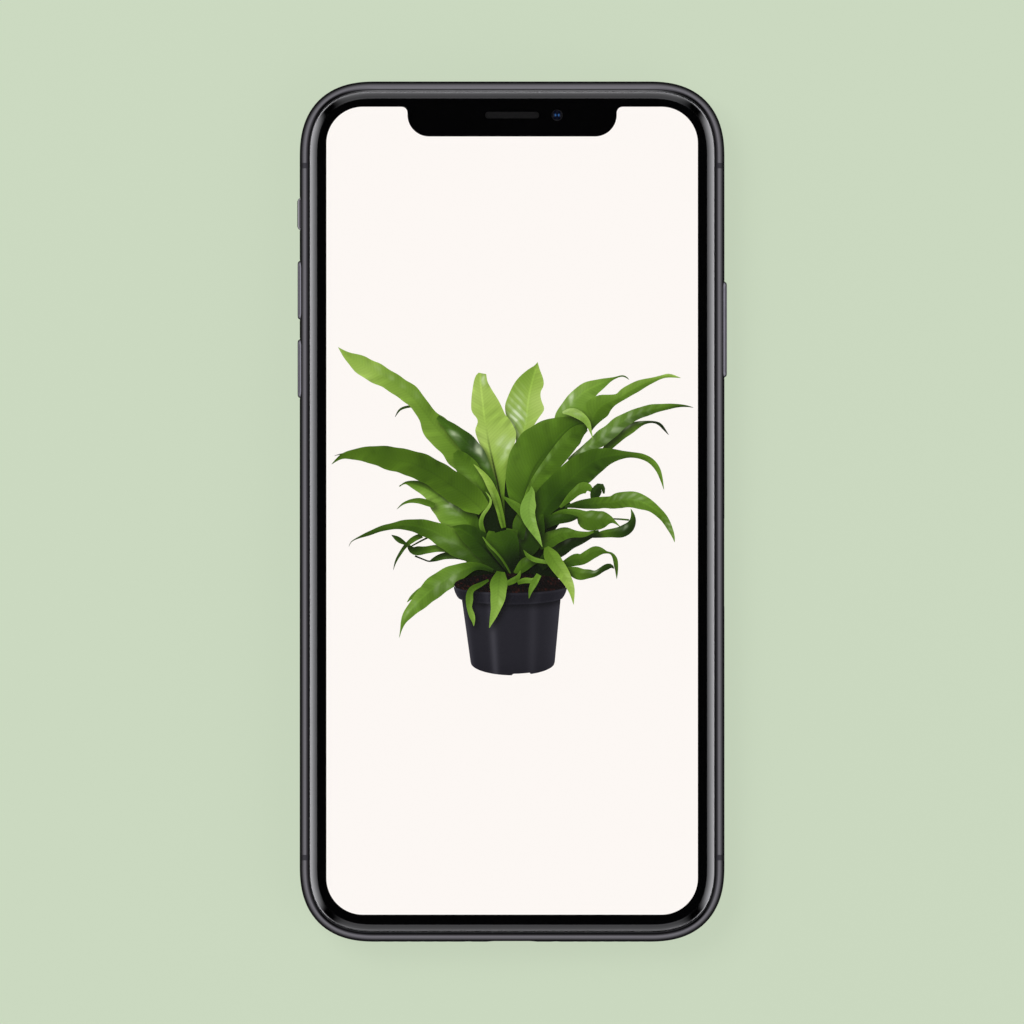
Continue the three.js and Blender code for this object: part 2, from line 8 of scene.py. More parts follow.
import bmesh
import bpy
import numpy as np
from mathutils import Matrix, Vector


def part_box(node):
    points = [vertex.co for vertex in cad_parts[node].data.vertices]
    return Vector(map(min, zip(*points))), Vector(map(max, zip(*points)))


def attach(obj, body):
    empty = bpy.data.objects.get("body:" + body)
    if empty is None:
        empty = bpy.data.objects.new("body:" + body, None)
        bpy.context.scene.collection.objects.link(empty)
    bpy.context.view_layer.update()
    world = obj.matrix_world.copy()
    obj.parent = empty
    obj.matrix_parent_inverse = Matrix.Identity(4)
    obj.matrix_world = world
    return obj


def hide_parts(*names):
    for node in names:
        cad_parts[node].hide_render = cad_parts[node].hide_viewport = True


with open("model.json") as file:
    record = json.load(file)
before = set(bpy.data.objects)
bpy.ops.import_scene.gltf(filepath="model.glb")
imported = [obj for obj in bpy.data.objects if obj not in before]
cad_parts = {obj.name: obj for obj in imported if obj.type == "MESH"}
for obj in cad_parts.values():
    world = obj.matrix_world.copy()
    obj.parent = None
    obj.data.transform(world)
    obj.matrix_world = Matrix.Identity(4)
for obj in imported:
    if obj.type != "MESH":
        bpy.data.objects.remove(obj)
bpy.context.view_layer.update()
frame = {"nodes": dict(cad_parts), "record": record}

millimetre = 0.001


def spanOf(*nodes):
    # lowest and highest corner of some CAD nodes together, in millimetres
    lows, highs = zip(*(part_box(node) for node in nodes))
    low = [min(corner[i] for corner in lows) / millimetre for i in range(3)]
    high = [max(corner[i] for corner in highs) / millimetre for i in range(3)]
    return low, high


def centreOf(node):
    low, high = spanOf(node)
    return [(a + b) / 2 for a, b in zip(low, high)]


body = {
    "cornerReach": 12.7,   # how far a corner's curve runs along each straight side
    "cornerPower": 2.42,   # exponent of the corner's superellipse
    "cornerSteps": 26,
}
bodyLow, bodyHigh = spanOf("frame_left", "frame_right", "frame_top", "frame_bottom")
halfWidth, halfLength = bodyHigh[0], bodyHigh[1]
middle = (bodyLow[2] + bodyHigh[2]) / 2
glassLow, glassHigh = spanOf("cover_glass")
backLow, backHigh = spanOf("back_glass")


# Shader tools

class Flow:
    # a socket's value in a material: sums written with it become Math nodes
    def __init__(self, look, socket):
        self.look = look
        self.socket = socket

    def math(self, operation, *others):
        return self.look.add("Math", {"operation": operation}, dict(enumerate((self, *others))))

    def __add__(self, other):
        return self.math("ADD", other)

    def __radd__(self, other):
        return self.math("ADD", other)

    def __mul__(self, other):
        return self.math("MULTIPLY", other)

    def __rmul__(self, other):
        return self.math("MULTIPLY", other)

    def __sub__(self, other):
        return self.math("SUBTRACT", other)

    def __rsub__(self, other):
        return self.math("MULTIPLY_ADD", -1.0, other)

    def __truediv__(self, other):
        return self.math("DIVIDE", other)

    def __pow__(self, other):
        return self.math("POWER", other)

    def __gt__(self, other):
        return self.math("GREATER_THAN", other)

    def __lt__(self, other):
        return self.math("LESS_THAN", other)

    def __abs__(self):
        return self.math("ABSOLUTE")

    def sine(self):
        return self.math("SINE")

    def most(self, other):
        return self.math("MAXIMUM", other)

    def least(self, other):
        return self.math("MINIMUM", other)

    def fade(self, start, end):
        # 0 up to start, 1 from end, and smooth between them
        return self.look.add(
            "MapRange", {"interpolation_type": "SMOOTHSTEP"}, {0: self, 1: start, 2: end})


class Look:
    # a node tree for one finish, and the one way in which it gets any node
    def __init__(self, name, owner=None):
        self.owner = owner or bpy.data.materials.new(name)
        self.owner.use_nodes = True
        self.tree = self.owner.node_tree
        self.tree.nodes.clear()

    def add(self, kind, settings, values, output=0):
        node = self.tree.nodes.new("ShaderNode" + kind)
        for key, value in settings.items():
            if key == "stops":
                ramp = node.color_ramp
                while len(ramp.elements) < len(value):
                    ramp.elements.new(1.0)
                for element, (place, colour) in zip(ramp.elements, value):
                    element.position = place
                    element.color = (*colour, 1.0)
            else:
                setattr(node, key, value)
        for key, value in values.items():
            if isinstance(value, Flow):
                self.tree.links.new(value.socket, node.inputs[key])
            else:
                node.inputs[key].default_value = value
        return Flow(self, node.outputs[output])

    def place(self):
        # the point on the piece, in millimetres, as a vector
        point = self.add("TexCoord", {}, {}, "Object")
        return self.add("VectorMath", {"operation": "SCALE"}, {0: point, "Scale": 1 / millimetre})

    def axes(self, vector):
        split = self.add("SeparateXYZ", {}, {0: vector})
        return [Flow(self, out) for out in split.socket.node.outputs]

    def where(self):
        # x, y and z of the point on the piece, in millimetres
        return self.axes(self.place())

    def around(self, x0, y0):
        # how far the point lies from an upright axis: across, along and straight
        x, y = self.where()[:2]
        across, along = x - x0, y - y0
        return across, along, (across * across + along * along) ** 0.5

    def facing(self):
        # x, y and z of the surface's own direction
        return self.axes(self.add("TexCoord", {}, {}, "Normal"))

    def noise(self, scale, detail=2.0, stretch=None):
        point = self.place()
        if stretch:
            point = self.add("VectorMath", {"operation": "MULTIPLY"}, {0: point, 1: stretch})
        return self.add("TexNoise", {}, {"Vector": point, "Scale": scale, "Detail": detail})

    def tint(self, colour, amount):
        return self.add("VectorMath", {"operation": "SCALE"}, {0: colour, "Scale": amount})

    def mix(self, amount, first, second):
        values = {0: amount}
        for key, colour in ((6, first), (7, second)):
            values[key] = colour if isinstance(colour, Flow) else (*colour, 1.0)
        return self.add("Mix", {"data_type": "RGBA"}, values, 2)

    def skin(self, index):
        # the share that a clear surface mirrors
        return self.add("Fresnel", {}, {"IOR": index})

    def outside(self):
        # 1 on a face seen from in front, 0 from behind
        return 1 - self.add("NewGeometry", {}, {}, "Backfacing")

    def bump(self, height, depth):
        # depth is how high a height of 1 stands, in millimetres
        return self.add("Bump", {}, {"Height": height, "Distance": depth * millimetre}, "Normal")

    def surface(self, colour, values):
        node = {"Base Color": colour if isinstance(colour, Flow) else (*colour, 1.0), **values}
        shader = self.add("BsdfPrincipled", {}, node)
        return self.output(shader)

    def output(self, shader):
        kind = "OutputWorld" if isinstance(self.owner, bpy.types.World) else "OutputMaterial"
        end = self.tree.nodes.new("ShaderNode" + kind)
        self.tree.links.new(shader.socket, end.inputs["Surface"])
        return self.owner


def toLinear(colour):
    # a screen colour, 0 to 255, as the linear light that a shader takes
    share = np.asarray(colour, float) / 255
    return np.where(share <= 0.04045, share / 12.92, ((share + 0.055) / 1.055) ** 2.4)


# Finishes

# where light is painted along the top end: how far in from the end it starts and is full, and how far
# out from the middle it fades, in millimetres
paintedTopGlow = {"start": 5.0, "full": 2.5, "middle": 22.0, "end": 29.0}


def paintedTopLight(look):
    # 1 along the phone's top end, where light is painted into the seam and onto the frame's top faces
    x, y = look.where()[:2]
    near = y.fade(halfLength - paintedTopGlow["start"], halfLength - paintedTopGlow["full"])
    return near * (1 - abs(x).fade(paintedTopGlow["middle"], paintedTopGlow["end"]))


def darkSteelLook():
    look = Look("darkSteel")
    smudge = look.noise(0.12)
    polish = look.noise(3.5, stretch=(1.0, 1.0, 9.0))
    # faces that look up are painted darker, as painted shade, and along the top end painted much
    # lighter instead, as painted light
    upward = abs(look.facing()[2])
    flat = upward.fade(0.72, 0.9) * (0.62 - 2.6 * paintedTopLight(look))
    tone = (0.9 + 0.12 * smudge + 0.08 * polish) * (1 - flat)
    return look.surface(look.tint((0.168, 0.164, 0.18), tone), {
        "Metallic": 1.0,
        "Roughness": 0.1 + 0.1 * smudge + 0.04 * polish,
        "Normal": look.bump(polish, 0.0006),
    })


def plainSteelLook():
    look = Look("plainSteel")
    brushed = look.noise(2.2, 3.0, (0.25, 6.0, 1.0))
    stain = look.noise(0.25)
    return look.surface(look.tint((0.56, 0.56, 0.57), 0.8 + 0.25 * brushed + 0.1 * stain), {
        "Metallic": 1.0,
        "Roughness": 0.28 + 0.2 * brushed,
        "Normal": look.bump(brushed, 0.004),
    })


def coverGlassLook():
    # clear, with a mirror skin that grows strong where the edge curves away
    look = Look("coverGlass")
    smear = look.noise(0.09, stretch=(1.0, 0.6, 1.0))
    endward, upward = look.facing()[1:]
    slope = 1 - abs(upward)
    ends = abs(endward).fade(0.45, 0.7)
    edge = slope.fade(0.0002, 0.0012) * (0.6 - slope.fade(0.15, 0.4) * (0.3 + 0.24 * ends))
    dull = abs(endward).fade(0.42, 0.56) * (0.58 - 0.4 * endward)
    return look.surface(look.tint((0.93, 0.94, 0.96), 0.96 + 0.04 * smear), {
        "Metallic": 1.0,
        "Roughness": 0.01 + 0.02 * smear + 0.06 * edge,
        "Alpha": (look.skin(1.48) + edge).least(0.9) * (1 - dull) * look.outside(),
    })


grainy = {
    # grain: its scale, detail and stretch. tone and rough: the lowest, and what the grain adds.
    "printedBlack": {
        "colour": (0.0008, 0.0008, 0.001), "grain": (6.0,), "tone": (0.7, 0.6), "rough": (0.55, 0.1),
        "more": {"Specular IOR Level": 0.05}},
    "antennaPlastic": {
        "colour": (0.05, 0.048, 0.058), "grain": (12.0, 3.0), "tone": (0.85, 0.3),
        "rough": (0.14, 0.12), "relief": 0.002, "more": {"Metallic": 0.9}},
    "blackPlastic": {
        "colour": (0.019, 0.019, 0.021), "grain": (7.0, 3.0), "tone": (0.8, 0.4),
        "rough": (0.45, 0.15), "relief": 0.012},
    "batteryPouch": {
        "colour": (0.012, 0.012, 0.013), "grain": (0.35, 4.0, (1.0, 0.3, 1.0)), "tone": (0.8, 0.4),
        "rough": (0.4, 0.2), "relief": 0.2},
}


def grainyLook(name):
    # one colour, with a grain in its tone, its shine and its surface
    facts = grainy[name]
    look = Look(name)
    grain = look.noise(*facts["grain"])
    tone, rough = (low + rise * grain for low, rise in (facts["tone"], facts["rough"]))
    values = {"Roughness": rough, **facts.get("more", {})}
    if "relief" in facts:
        values["Normal"] = look.bump(grain, facts["relief"])
    return look.surface(look.tint(facts["colour"], tone), values)


def rubberLook():
    look = Look("blackRubber")
    grain = look.noise(9.0, 3.0)
    dust = look.noise(0.7)
    # along the top end the seal is painted light grey, as painted light in the seam
    colour = look.mix(paintedTopLight(look), (0.022, 0.022, 0.024), (0.2, 0.2, 0.205))
    return look.surface(
        look.tint(colour, 0.75 + 0.3 * grain + 0.25 * dust),
        {"Roughness": 0.5 + 0.2 * grain, "Normal": look.bump(grain, 0.01)})


def backGlassLook():
    look = Look("backGlass")
    frost = look.noise(16.0, 3.0)
    cloud = look.noise(0.05)
    mottle = look.noise(0.16, 3.0, (1.0, 0.7, 1.0))
    return look.surface(look.tint((0.034, 0.035, 0.039), 0.88 + 0.14 * frost + 0.12 * cloud), {
        "Roughness": 0.24 + 0.06 * frost + 0.02 * mottle,
        "Coat Weight": 0.35 + 0.2 * cloud,
        "Coat Roughness": 0.12,
        "Normal": look.bump(frost, 0.0015),
    })


def lensGlassLook():
    look = Look("lensGlass")
    haze = look.noise(0.4)
    return look.surface(
        look.tint((0.006, 0.006, 0.009), 0.7 + 0.6 * haze),
        {"Roughness": 0.03 + 0.05 * haze, "Coat Weight": 0.8 + 0.2 * haze, "Coat Roughness": 0.02})


def speakerMeshLook():
    # a fine woven grille: holes in rows at a quarter of a millimetre
    look = Look("speakerMesh")
    x, y, z = look.where()
    rate = 25.1
    weave = ((x * rate).sine() * ((y + z) * rate).sine()).fade(-0.1, 0.6)
    fluff = look.noise(3.0)
    return look.surface(
        look.mix(weave, (0.0125, 0.0125, 0.013), (0.003, 0.003, 0.003)),
        {"Roughness": 0.6 + 0.3 * fluff, "Metallic": 0.3, "Normal": look.bump(1 - weave, 0.05)})


def diffuserLook():
    look = Look("flashDiffuser")
    radius = look.around(*centreOf("flash_window")[:2])[2]
    ridge = (radius * 18.0).sine()
    core = 1 - radius.fade(0.2, 1.5)
    return look.surface(
        look.mix(core, (0.82, 0.8, 0.74), (0.9, 0.72, 0.3)),
        {"Roughness": 0.22 + 0.1 * ridge, "Normal": look.bump(ridge, 0.05)})


def boardLook():
    # green mask over copper tracks, with solder pads scattered in cells
    look = Look("circuitBoard")
    x, y = look.where()[:2]
    wander = look.noise(0.3)
    track = ((x + y + 9.0 * wander) * 5.0).sine().fade(0.6, 0.8)
    cell = look.add("TexVoronoi", {}, {"Vector": look.place(), "Scale": 0.9}, "Distance")
    pad = 1 - cell.fade(0.16, 0.2)
    mask = look.mix(track, (0.006, 0.032, 0.016), (0.012, 0.06, 0.028))
    return look.surface(
        look.mix(pad, mask, (0.5, 0.47, 0.4)),
        {"Roughness": 0.3 + 0.2 * wander, "Metallic": pad, "Normal": look.bump(track, 0.03)})


def copperLook():
    # turns of enamelled wire round the coil's own middle
    look = Look("coilCopper")
    radius = look.around(*centreOf("charging_coil")[:2])[2]
    turn = (radius * 12.5).sine()
    return look.surface(
        look.tint((0.5, 0.2, 0.09), 0.8 + 0.2 * turn),
        {"Metallic": 1.0, "Roughness": 0.3 - 0.05 * turn, "Normal": look.bump(turn, 0.12)})


def cardLook():
    # pale plastic with a plain grid of gilt contacts
    look = Look("cardPlastic")
    across, along = (abs(way) for way in look.around(*centreOf("sim_card")[:2])[:2])
    pad = (across < 3.2) * (along < 4.4)
    gap = (abs(across - 1.2) < 0.09).most(abs(along - 1.5) < 0.09)
    grain = look.noise(5.0)
    gilt = pad * (1 - gap)
    return look.surface(
        look.mix(gilt, (0.74, 0.71, 0.65), (0.72, 0.5, 0.2)),
        {"Metallic": gilt, "Roughness": 0.36 + 0.1 * grain, "Normal": look.bump(gilt, 0.02)})


def litSurface(look, colour):
    # a screen's light, behind a skin that mirrors nothing
    return look.surface((0.01, 0.01, 0.01), {
        "Emission Color": colour,
        "Emission Strength": display["strength"],
        "Specular IOR Level": 0.0,
        "Roughness": 0.6,
    })


def displayLook():
    # a lit wallpaper in warm white, with the display's own fine grid of pixels
    look = Look("litDisplay")
    x, y = look.where()[:2]
    rate = 2 * math.pi / display["pixelPitch"]
    grid = (x * rate).sine() * (y * rate).sine()
    glow = tuple(toLinear(display["wallpaper"]))
    return litSurface(look, look.tint(glow, 1.0 + 0.012 * grid))


def pictureLook():
    # the leaves' painted colours, with a midrib, fine veins and bands of gloss, by their own
    # measure in millimetres. The marks hold the midrib's strength, the gloss, how far the blade
    # ripples, and the phase of its ripples.
    look = Look("litPicture")
    paint = look.add("Attribute", {"attribute_name": "pictureColour"}, {}, "Color")
    marks = look.add("Attribute", {"attribute_name": "pictureMarks"}, {}, "Color")
    wave = look.add("Attribute", {"attribute_name": "pictureMarks"}, {}, "Alpha").sine()
    rib, sheen, ripple = look.axes(marks)
    across, along = look.axes(look.add("TexCoord", {}, {}, "UV"))[:2]
    away = abs(across)
    line = 1 - away.fade(0.06, 0.24)
    veins = (along * 11.0 - away * 8.0).sine() * (away < 20.0)
    patch = look.noise(0.55, 1.0).fade(0.4, 0.6)
    tone = 1 + line * rib + 0.04 * veins + ripple * wave * (0.3 + patch)
    glint = sheen * (0.24 + 0.76 * wave.fade(-0.6, 1.0)) * (0.35 + 0.65 * patch)
    return litSurface(look, look.mix(glint, look.tint(paint, tone), tuple(toLinear(picture["gloss"]))))


picture = {
    "base": 7.706,          # height of the lowest layer
    "step": 0.0042,         # from one layer to the next
    "sheet": 0.002,         # a layer's own thickness
    "columns": 12,          # faces across a leaf
    "face": 0.4,            # length of a face along a leaf
    "cell": 0.1,            # of the map in which the leaves cast their shade
    "reach": (33.0, 31.0),  # half the map's width and height
    "shadeShift": (0.4, -0.5),
    "shade": 0.6,
    "levels": (0.0, 0.2, 0.4, 0.6, 0.8, 1.0),
    "greens": [
        (12, 24, 3), (38, 64, 6), (70, 102, 20), (102, 138, 44), (140, 174, 74), (178, 205, 118)],
    "warmth": (10, 4, -4),
    "gloss": (214, 228, 190),
}

display = {
    "wallpaper": (252, 247, 243),
    "strength": 1.039,      # makes up for what the glass over it mirrors away
    "margin": 0.35,         # of the panel beyond its lit area, under the printed border
    "corner": 6.1,
    "pixelPitch": 0.0555,
    "top": 7.70,            # leaves room for the picture's layers under the glass
    "sideTrim": 0.13,       # how much less of it shows at each side
    "footTrim": 0.29,       # and at its foot
    "notchHalfWidth": 17.44,
    "notchFloor": 62.55,
    "notchCorner": 3.6,
    "notchFillet": 1.0,
}

looks = {
    "frame_metal": darkSteelLook(),
    "inner_steel": plainSteelLook(),
    "cover_glass": coverGlassLook(),
    "back_glass": backGlassLook(),
    "lens_glass": lensGlassLook(),
    "display": displayLook(),
    "black_plastic": grainyLook("blackPlastic"),
    "split_plastic": grainyLook("antennaPlastic"),
    "speaker_mesh": speakerMeshLook(),
    "diffuser": diffuserLook(),
    "battery_cell": grainyLook("batteryPouch"),
    "circuit_board": boardLook(),
    "copper": copperLook(),
    "card_plastic": cardLook(),
}
for part in frame["record"]["subparts"]:
    node = frame["nodes"][part["node"]]
    node.data.materials.clear()
    node.data.materials.append(looks[part["material_slot"]])
print("finishes made:", len(looks))


# Modelling tools

def deselect():
    bpy.ops.object.select_all(action="DESELECT")


def activate(piece):
    deselect()
    piece.select_set(True)
    bpy.context.view_layer.objects.active = piece


def edit(piece, kind="FACE"):
    activate(piece)
    bpy.ops.object.mode_set(mode="EDIT")
    bpy.ops.mesh.select_mode(type=kind)
    bpy.ops.mesh.select_all(action="SELECT")


def leave():
    bpy.ops.object.mode_set(mode="OBJECT")


def pick(test, kind="FACE"):
    # selects just the faces or edges that pass the test, in edit mode
    bpy.ops.mesh.select_mode(type=kind)
    bpy.ops.mesh.select_all(action="DESELECT")
    mesh = bpy.context.edit_object.data
    shape = bmesh.from_edit_mesh(mesh)
    for part in shape.faces if kind == "FACE" else shape.edges:
        part.select_set(test(part))
    bmesh.update_edit_mesh(mesh)


def settle(piece):
    # puts the piece's place, turn and size into its mesh
    activate(piece)
    bpy.ops.object.transform_apply(location=True, rotation=True, scale=True)
    return piece


def fresh(name):
    # the primitive that was just added, named
    piece = bpy.context.active_object
    piece.name = name
    return settle(piece)


def box(name, low, high):
    deselect()
    centre = [(a + b) / 2 for a, b in zip(low, high)]
    size = [b - a for a, b in zip(low, high)]
    bpy.ops.mesh.primitive_cube_add(size=1, location=centre, scale=size)
    return fresh(name)


def bar(name, low, high, axis, corner, steps=8):
    # a box with its four edges along one axis rounded off
    piece = box(name, low, high)
    edit(piece)
    pick(lambda e: abs((e.verts[0].co - e.verts[1].co).normalized()[axis]) > 0.9, "EDGE")
    bpy.ops.mesh.bevel(offset=corner, segments=steps, profile=0.5)
    leave()
    return piece


def pill(name, low, high, axis, steps=8):
    sides = [b - a for i, (a, b) in enumerate(zip(low, high)) if i != axis]
    return bar(name, low, high, axis, min(sides) * 0.4995, steps)


def drum(name, centre, axis, start, end, radius, sides=48):
    # a cylinder along one axis, from start to end on it
    deselect()
    place = list(centre)
    place[axis] = (start + end) / 2
    turn = [(0, math.pi / 2, 0), (math.pi / 2, 0, 0), (0, 0, 0)][axis]
    bpy.ops.mesh.primitive_cylinder_add(
        vertices=sides, radius=radius, depth=end - start, location=place, rotation=turn)
    return fresh(name)


def soften(piece, axis, side, offset, steps=4):
    # rounds the rim of the end that looks along an axis, on one side
    edit(piece)

    def rimEdge(edge):
        ends = [face.normal[axis] * side > 0.99 for face in edge.link_faces]
        return any(ends) and not all(ends)

    pick(rimEdge, "EDGE")
    bpy.ops.mesh.bevel(offset=offset, segments=steps, profile=0.5)
    leave()
    return piece


def boolean(piece, operation, *tools):
    for tool in tools:
        step = piece.modifiers.new("step", "BOOLEAN")
        step.operation = operation
        step.solver = "EXACT"
        step.object = tool
        activate(piece)
        bpy.ops.object.modifier_apply(modifier=step.name)
        bpy.data.objects.remove(tool)
    return piece


def copyOf(piece, name):
    activate(piece)
    bpy.ops.object.duplicate()
    twin = bpy.context.active_object
    twin.name = name
    return twin


def padFace(name, low, high, height, corner, steps, profile=0.5):
    # a level face with round corners, which stays in edit mode, selected
    deselect()
    centre = [(a + b) / 2 for a, b in zip(low, high)]
    bpy.ops.mesh.primitive_plane_add(size=1, location=(*centre, height))
    bpy.context.active_object.scale = (high[0] - low[0], high[1] - low[1], 1)
    piece = fresh(name)
    edit(piece, "VERT")
    bpy.ops.mesh.bevel(offset=corner, segments=steps, profile=profile, affect="VERTICES")
    bpy.ops.mesh.remove_doubles(threshold=0.02)
    bpy.ops.mesh.select_mode(type="FACE")
    bpy.ops.mesh.select_all(action="SELECT")
    return piece


def outlineFace(name, inset, height):
    # the phone's outline as such a face, moved in by inset
    piece = padFace(
        name, (-halfWidth, -halfLength), (halfWidth, halfLength), height,
        body["cornerReach"], body["cornerSteps"], 0.25 ** (1 / body["cornerPower"]))
    if inset:
        bpy.ops.mesh.inset(thickness=inset)
        bpy.ops.mesh.select_all(action="INVERT")
        bpy.ops.mesh.delete(type="FACE")
        bpy.ops.mesh.select_all(action="SELECT")
    return piece


def climb(steps):
    # each step moves the selected face inwards and up, and leaves a ring of faces behind it
    for inward, upward in steps:
        if inward:
            bpy.ops.mesh.inset(thickness=inward, depth=upward)
        else:
            bpy.ops.mesh.extrude_region_move(TRANSFORM_OT_translate={"value": (0, 0, upward)})


def trace(profile):
    # climbs from point to point of a profile, each given by its inset and its height
    climb([(b[0] - a[0], b[1] - a[1]) for a, b in zip(profile, profile[1:])])


def roundOver(start, inward, upward, steps):
    # a quarter of an ellipse that leaves start upright and ends level, without start
    turns = [math.pi / 2 * (i + 1) / steps for i in range(steps)]
    return [(start[0] + inward * (1 - math.cos(a)), start[1] + upward * math.sin(a)) for a in turns]


def openTop():
    # takes away the face that climbed, and ends the editing
    bpy.ops.mesh.delete(type="FACE")
    leave()


def closeRing(piece):
    # opens the top and the underside of what climbed, and joins their edges
    openTop()
    edit(piece)
    pick(lambda face: len(face.verts) > 8)
    bpy.ops.mesh.delete(type="ONLY_FACE")
    bpy.ops.mesh.select_mode(type="EDGE")
    bpy.ops.mesh.select_all(action="DESELECT")
    bpy.ops.mesh.select_non_manifold(extend=False)
    bpy.ops.mesh.bridge_edge_loops()
    leave()


def mirrorHeight(piece, height, both=False):
    # turns the whole mesh upside down about a height, or adds the upside-down copy to it
    edit(piece)
    if both:
        bpy.ops.mesh.duplicate()
    bpy.ops.transform.resize(value=(1, 1, -1), center_override=(0, 0, height))
    bpy.ops.mesh.flip_normals()
    bpy.ops.mesh.select_all(action="SELECT")
    bpy.ops.mesh.remove_doubles(threshold=0.0005)
    leave()


def keepBetween(piece, axis, low=None, high=None):
    # cuts away what lies below low and above high on one axis, and closes the cuts
    edit(piece)
    for place, above in ((low, True), (high, False)):
        if place is None:
            continue
        bpy.ops.mesh.select_all(action="SELECT")
        normal = [int(i == axis) for i in range(3)]
        point = [place * share for share in normal]
        bpy.ops.mesh.bisect(
            plane_co=point, plane_no=normal, use_fill=True,
            clear_inner=above, clear_outer=not above)
    leave()


def keepSide(piece, side):
    # keeps the separate half on the phone's left, -1, or right, 1
    edit(piece)
    pick(lambda face: face.calc_center_median().x * side < 0)
    bpy.ops.mesh.delete(type="VERT")
    leave()


def lensDome(name, place, radius, sides, side, flat):
    # half a sphere that bulges up, 1, or down, -1, pressed flat to a share of its height
    deselect()
    bpy.ops.mesh.primitive_uv_sphere_add(segments=sides, ring_count=sides // 2, radius=radius)
    piece = fresh(name)
    if side > 0:
        keepBetween(piece, 2, low=0)
    else:
        keepBetween(piece, 2, high=0)
    piece.scale = (1, 1, flat)
    piece.location = place
    return settle(piece)


def dress(piece, rides, slot, look=None, stands=(), angle=30):
    # the last step of every piece: metres, shading, finish, and its body in the frame
    edit(piece)
    bpy.ops.mesh.remove_doubles(threshold=0.0002)
    bpy.ops.mesh.normals_make_consistent(inside=False)
    leave()
    piece.scale = (millimetre, millimetre, millimetre)
    settle(piece)
    bpy.ops.object.shade_smooth_by_angle(angle=math.radians(angle))
    piece.data.materials.clear()
    piece.data.materials.append(look or looks[slot])
    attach(piece, rides)
    if stands:
        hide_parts(*stands)
    return piece


# Metal frame: one band round the phone, cut into its four lengths and the four inserts

band = {
    "bulge": 1.8,          # how far its outside would draw in over its half height
    "halfHeight": 3.35,
    "lipInset": 1.38,      # where the bulge ends and the seat of the glass begins
    "lip": 0.08,
    "ledge": 2.61,
    "wallInset": 2.3,
    "steps": 18,
    "slack": 0.02,         # that each antenna insert gives the metal on either side
}
hands = (("Left", -1), ("Right", 1))


def bulgeProfile():
    end = math.acos(1 - band["lipInset"] / band["bulge"])
    angles = [end * i / band["steps"] for i in range(band["steps"] + 1)]
    return [(band["bulge"] * (1 - math.cos(a)), band["halfHeight"] * math.sin(a)) for a in angles]


def makeBand():
    piece = outlineFace("band", 0, middle)
    profile = bulgeProfile()
    lip = band["lipInset"] + band["lip"]
    wall, ledge = band["wallInset"], band["ledge"]
    trace(profile + [(lip, profile[-1][1]), (lip, ledge), (wall, ledge), (wall, 0)])
    openTop()
    mirrorHeight(piece, middle, both=True)
    return piece


def frameHull():
    # the solid inside the frame's bulging outside, a seam's width in from it
    hull = outlineFace("cutter", bottom["seam"], middle)
    trace(bulgeProfile())
    leave()
    mirrorHeight(hull, middle, both=True)
    return hull


controls = {
    "flange": 0.5,       # a button's flange past its slot, each way
    "gap": 0.08,         # round a button in its slot
    "flangeDepth": 0.6,
    "slotReach": 3.0,    # how far in a slot's cutter starts
    "cut": 0.31,         # the bright chamfer round a button
    "dome": 0.25,        # how far its face then bulges out, over domeInset
    "domeInset": 0.5,
    "clear": 0.05,       # between the frame's inner wall and what slides on it
}
wallFace = halfWidth - band["wallInset"] - controls["clear"]


def capSpan(node):
    # where a button's cap runs along the phone and in height, without its flange
    low, high = spanOf(node)
    grow = controls["flange"]
    return low[1] + grow, high[1] - grow, low[2] + grow, high[2] - grow


def slotCutter(side, y0, y1, z0, z1, corner=None):
    gap = controls["gap"]
    inner = halfWidth - controls["slotReach"]
    ends = sorted((side * inner, side * (halfWidth + 2)))
    low = (ends[0], y0 - gap, z0 - gap)
    high = (ends[1], y1 + gap, z1 + gap)
    if corner:
        return bar("cutter", low, high, 0, corner, 6)
    return pill("cutter", low, high, 0, 12)


tray = {
    "length": 14.8,       # of its head, which shows in the frame
    "height": 2.0,
    "depth": 1.2,
    "tongue": 0.5,        # half the thickness of what holds the card
    "tongueHalf": 6.7,
    "corner": 0.6,
    "pinY": 5.6,          # of the hole for the pin that pushes it out
    "pinRadius": 0.4,
    "cardPlay": 0.1,
    "cardCorner": 0.8,
}
toggle = {
    "length": 5.4,
    "height": 1.4,
    "travel": 1.1,
    "slotCorner": 0.7,
    "corner": 0.6,
    "neck": 0.5,                  # of its reach, taken up by its rounded face
    "leans": (25, 38, 51, 65),    # of that face's rings, in degrees, each one rise high
    "rise": 0.125,
    "shutter": 0.4,
}
trayLow = spanOf("sim_tray")[0]
trayY = centreOf("sim_tray")[1]
muteLow, muteHigh = spanOf("mute_switch")
muteY = centreOf("mute_switch")[1]


def sideSlots(side):
    if side < 0:
        half, tall = toggle["length"] / 2, (toggle["height"] + toggle["travel"]) / 2
        ends = (muteY - half, muteY + half, middle - tall, middle + tall)
        buttons = [slotCutter(-1, *capSpan(f"volume_{way}_button")) for way in ("up", "down")]
        return buttons + [slotCutter(-1, *ends, toggle["slotCorner"])]
    half, tall = tray["length"] / 2, tray["height"] / 2
    ends = (trayY - half, trayY + half, middle - tall, middle + tall)
    return [slotCutter(1, *capSpan("side_button")), slotCutter(1, *ends)]


bottom = {
    "socketWidth": 8.4,
    "socketHeight": 2.8,
    "socketWall": 0.35,
    "socketFloor": 0.6,
    "tongueWidth": 6.2,
    "tongueHeight": 0.6,
    "tongueDrop": 0.8,       # of its tip, in from the socket's mouth
    "contactPitch": 0.5,
    "screwX": 7.3,
    "screwRadius": 0.8,
    "cross": (0.55, 0.13),   # half the length and half the width of a slot in a screw
    "crossDepth": 0.35,
    "grilleX": 10.6,
    "grillePitch": 2.2,
    "grilleCount": 6,
    "grilleRadius": 0.62,
    "seam": 0.03,
}


